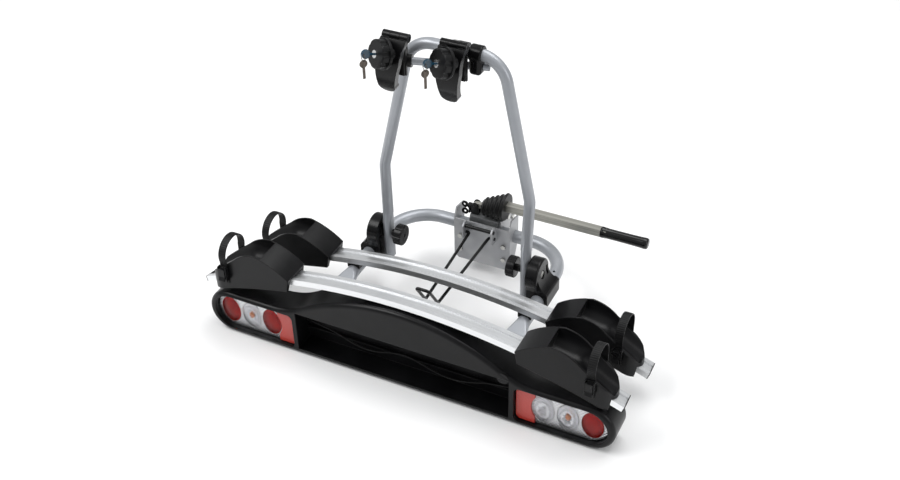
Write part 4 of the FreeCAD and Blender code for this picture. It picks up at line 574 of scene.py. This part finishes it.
# %% The grip
GRIP_X = 314.0
GRIP_LENGTH = 124.0
grip_profile = np.array([
    [2.0, 0.0], [11.5, 0.0], [13.6, 0.6], [14.4, 2.2], [14.4, 6.5], [13.7, 8.2], [13.2, 11.0], [13.2, 40.0],
    [13.4, 80.0], [13.9, 104.0], [14.4, 112.0], [14.4, 117.0], [13.8, 120.6], [12.0, 123.0],
    [8.0, GRIP_LENGTH], [2.0, GRIP_LENGTH]])
grip_shape = turned(grip_profile, [GRIP_X, LEVER_Y, LEVER_Z], [1.0, 0.0, 0.0])
grip = add_piece("lever_hand_grip", *grip_shape, "lever", 50.0)
grip.data.materials.append(grip_finish)
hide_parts("lever_grip")
print("grip length:", GRIP_LENGTH, "mm")

# %% [markdown]
# ## Wheel straps
# A ratchet strap is a flexible band with cross teeth. Its path goes up one wall of the holder,
# round in an arc and down the other wall. The teeth are a square wave taken off its outer face.

# %% The toothed bands
STRAP_X = 478.0
STRAP_HALF = 38.35
STRAP_RISE = 63.8
STRAP_TOP = 116.0
TOOTH_PITCH = 4.6
BAND_THICKNESS = 1.6
TOOTH_HEIGHT = 0.9
WALL_STEPS = 60
ARC_STEPS = 140
RAIL_HALF = 26.0
RAIL_LEAN = 10.0
RAIL_Y = (1.0, 184.0)
RAIL_Z = (234.0, 174.86)


def strap(index, side):
    """Path = wall, arc, wall; the section is a rectangle whose outer face drops between teeth."""
    middle = RAIL_Y[index] + RAIL_HALF * np.cos(np.radians(RAIL_LEAN))
    base = RAIL_Z[index] - RAIL_R + np.sqrt(RAIL_R ** 2 - STRAP_X ** 2) + 4.0
    r = (STRAP_HALF ** 2 + (STRAP_TOP - STRAP_RISE) ** 2) / (2.0 * (STRAP_TOP - STRAP_RISE))
    low = np.arcsin((STRAP_RISE - (STRAP_TOP - r)) / r)
    up = np.linspace(0.0, STRAP_RISE, WALL_STEPS, endpoint=False)
    t = np.linspace(np.pi - low, low, ARC_STEPS)
    y = np.concatenate([np.full(WALL_STEPS, -STRAP_HALF), r * np.cos(t), np.full(WALL_STEPS, STRAP_HALF)])
    z = np.concatenate([up, STRAP_TOP - r + r * np.sin(t), up[::-1]])
    ny = np.concatenate([np.full(WALL_STEPS, -1.0), np.cos(t), np.full(WALL_STEPS, 1.0)])
    nz = np.concatenate([np.zeros(WALL_STEPS), np.sin(t), np.zeros(WALL_STEPS)])
    length = np.concatenate([[0.0], np.cumsum(np.hypot(np.diff(y), np.diff(z)))])
    tooth = np.clip(2.2 * np.sin(2.0 * np.pi * length / TOOTH_PITCH) + 0.3, 0.0, 1.0)
    thick = BAND_THICKNESS + TOOTH_HEIGHT * tooth
    offsets = np.array([[0.0, 0.0], [10.0, 0.0], [10.0, 1.0], [7.0, 1.0], [-7.0, 1.0], [-10.0, 1.0],
                        [-10.0, 0.0]])
    shelf = np.array([0.0, 0.0, 0.0, 1.0, 1.0, 0.0, 0.0])
    out = 0.05 + offsets[None, :, 1] * np.where(shelf[None, :] > 0, thick[:, None], 2.0)
    ring_x = side * (STRAP_X + offsets[None, :, 0] + 0.0 * y[:, None])
    ring_y = middle + y[:, None] + out * ny[:, None]
    ring_z = base + z[:, None] + out * nz[:, None]
    return closed_grid(place(np.stack([ring_x, ring_y, ring_z], axis=-1)))


straps = 0
for index, where in enumerate(("front", "rear")):
    for side, word in ((-1, "left"), (1, "right")):
        band = add_piece(f"toothed_strap_{where}_{word}", *strap(index, side), f"holder_{where}_{word}", 25.0)
        band.data.materials.append(strap_finish)
        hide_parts(f"wheel_strap_{where}_{word}")
        straps += 1
print("straps:", straps)

# %% [markdown]
# ## Lamp lead
# The lead crosses the plate recess in loose waves and goes into a lamp unit at each end. It is a
# smooth spline with the route's own points as its control points, and a round bevel. The last
# step turns it into a mesh, because a curve's box in Blender is larger than what it draws.

# %% The lead
LEAD_END_X = 283.4
LEAD_R = 0.002
route = place([
    (-LEAD_END_X, 31.0, 78.0), (-205.0, 29.0, 70.0), (-150.0, 27.0, 46.0), (-95.0, 28.0, 40.0),
    (-45.0, 30.0, 56.0), (5.0, 28.0, 64.0), (60.0, 27.0, 44.0), (115.0, 27.0, 32.0), (170.0, 28.0, 42.0),
    (215.0, 30.0, 60.0), (LEAD_END_X, 31.0, 66.0)])
lead_curve = bpy.data.curves.new("lamp_lead", "CURVE")
lead_curve.dimensions = "3D"
lead_curve.bevel_depth = LEAD_R
lead_curve.bevel_resolution = 5
lead_curve.use_fill_caps = True
spline = lead_curve.splines.new("NURBS")
spline.points.add(len(route) - 1)
spline.points.foreach_set("co", np.column_stack([route, np.ones(len(route))]).ravel())
spline.order_u = 3
spline.use_endpoint_u = True
lead_curve.materials.append(rubber)
lead_form = bpy.data.objects.new("lamp_lead_form", lead_curve)
bpy.context.scene.collection.objects.link(lead_form)
lead_state = lead_form.evaluated_get(bpy.context.evaluated_depsgraph_get())
lead_mesh = bpy.data.meshes.new_from_object(lead_state)
bpy.data.objects.remove(lead_form)
lead = bpy.data.objects.new("lamp_lead", lead_mesh)
bpy.context.scene.collection.objects.link(lead)
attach(lead, "platform")
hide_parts("board_cable")
print("lead points:", len(route))

# %% [markdown]
# ## Studio
# A pale floor, a bright even sky and three soft boxes give the near shadowless light of a product
# picture. The camera stands behind the carrier's right corner and looks down on it.

# %% Floor and light
def soft_box(name, position, target, size, power):
    """A rectangular area light at a place, turned to face its target."""
    lamp_data = bpy.data.lights.new(name, "AREA")
    lamp_data.shape = "RECTANGLE"
    lamp_data.size, lamp_data.size_y = size
    lamp_data.energy = power
    lamp_object = bpy.data.objects.new(name, lamp_data)
    bpy.context.scene.collection.objects.link(lamp_object)
    lamp_object.location = position
    direction = Vector(target) - Vector(position)
    lamp_object.rotation_euler = direction.to_track_quat("-Z", "Y").to_euler()


FLOOR_Z = -0.1285
FLOOR_HALF = 9.0
floor_corners = [(x * FLOOR_HALF, y * FLOOR_HALF, FLOOR_Z) for x, y in ((-1, -1), (1, -1), (1, 1), (-1, 1))]
floor_mesh = bpy.data.meshes.new("studio_floor")
floor_mesh.from_pydata(floor_corners, [], [(0, 1, 2, 3)])
floor = bpy.data.objects.new("studio_floor", floor_mesh)
bpy.context.scene.collection.objects.link(floor)
floor_material = bpy.data.materials.new("pale_floor")
floor_material.use_nodes = True
floor_shader = floor_material.node_tree.nodes["Principled BSDF"]
floor_shader.inputs["Base Color"].default_value = (0.93, 0.93, 0.93, 1.0)
floor_shader.inputs["Roughness"].default_value = 0.9
floor_shader.inputs["Specular IOR Level"].default_value = 0.1
floor_mesh.materials.append(floor_material)
world = bpy.data.worlds.new("studio_sky")
world.use_nodes = True
world.node_tree.nodes["Background"].inputs["Color"].default_value = (0.98, 0.99, 1.0, 1.0)
world.node_tree.nodes["Background"].inputs["Strength"].default_value = 0.50
bpy.context.scene.world = world
soft_box("key_box", (-2.2, -1.6, 3.4), (0.0, -0.3, 0.1), (2.6, 1.6), 95.0)
soft_box("top_box", (0.6, 0.8, 3.6), (0.0, -0.3, 0.0), (3.0, 2.0), 80.0)
soft_box("side_box", (3.4, -0.8, 1.6), (0.0, -0.3, 0.2), (1.0, 2.0), 26.0)
bpy.context.scene.view_settings.view_transform = "Standard"
print("floor at", FLOOR_Z, "m")

# %% Camera
CAMERA_DEGREES = (26.81, 37.65, -1.52)
CAMERA_PLACE = (1.095, -2.458, 1.990)
yaw, pitch, roll = np.radians(CAMERA_DEGREES)
forward = np.array([-np.sin(yaw) * np.cos(pitch), np.cos(yaw) * np.cos(pitch), -np.sin(pitch)])
right = np.array([np.cos(yaw), np.sin(yaw), 0.0])
above = np.cross(right, forward)
right_rolled = right * np.cos(roll) + above * np.sin(roll)
above_rolled = -right * np.sin(roll) + above * np.cos(roll)
camera_data = bpy.data.cameras.new("photo_camera")
camera_data.lens = 50.0
camera_data.sensor_width = 36.0
camera_data.sensor_fit = "HORIZONTAL"
camera = bpy.data.objects.new("photo_camera", camera_data)
bpy.context.scene.collection.objects.link(camera)
turn = Matrix(np.column_stack([right_rolled, above_rolled, -forward]).tolist()).to_4x4()
camera.matrix_world = Matrix.Translation(CAMERA_PLACE) @ turn
bpy.context.scene.camera = camera
print("camera at", tuple(round(v, 3) for v in camera.matrix_world.translation))

# %% The last line
bpy.context.view_layer.update()
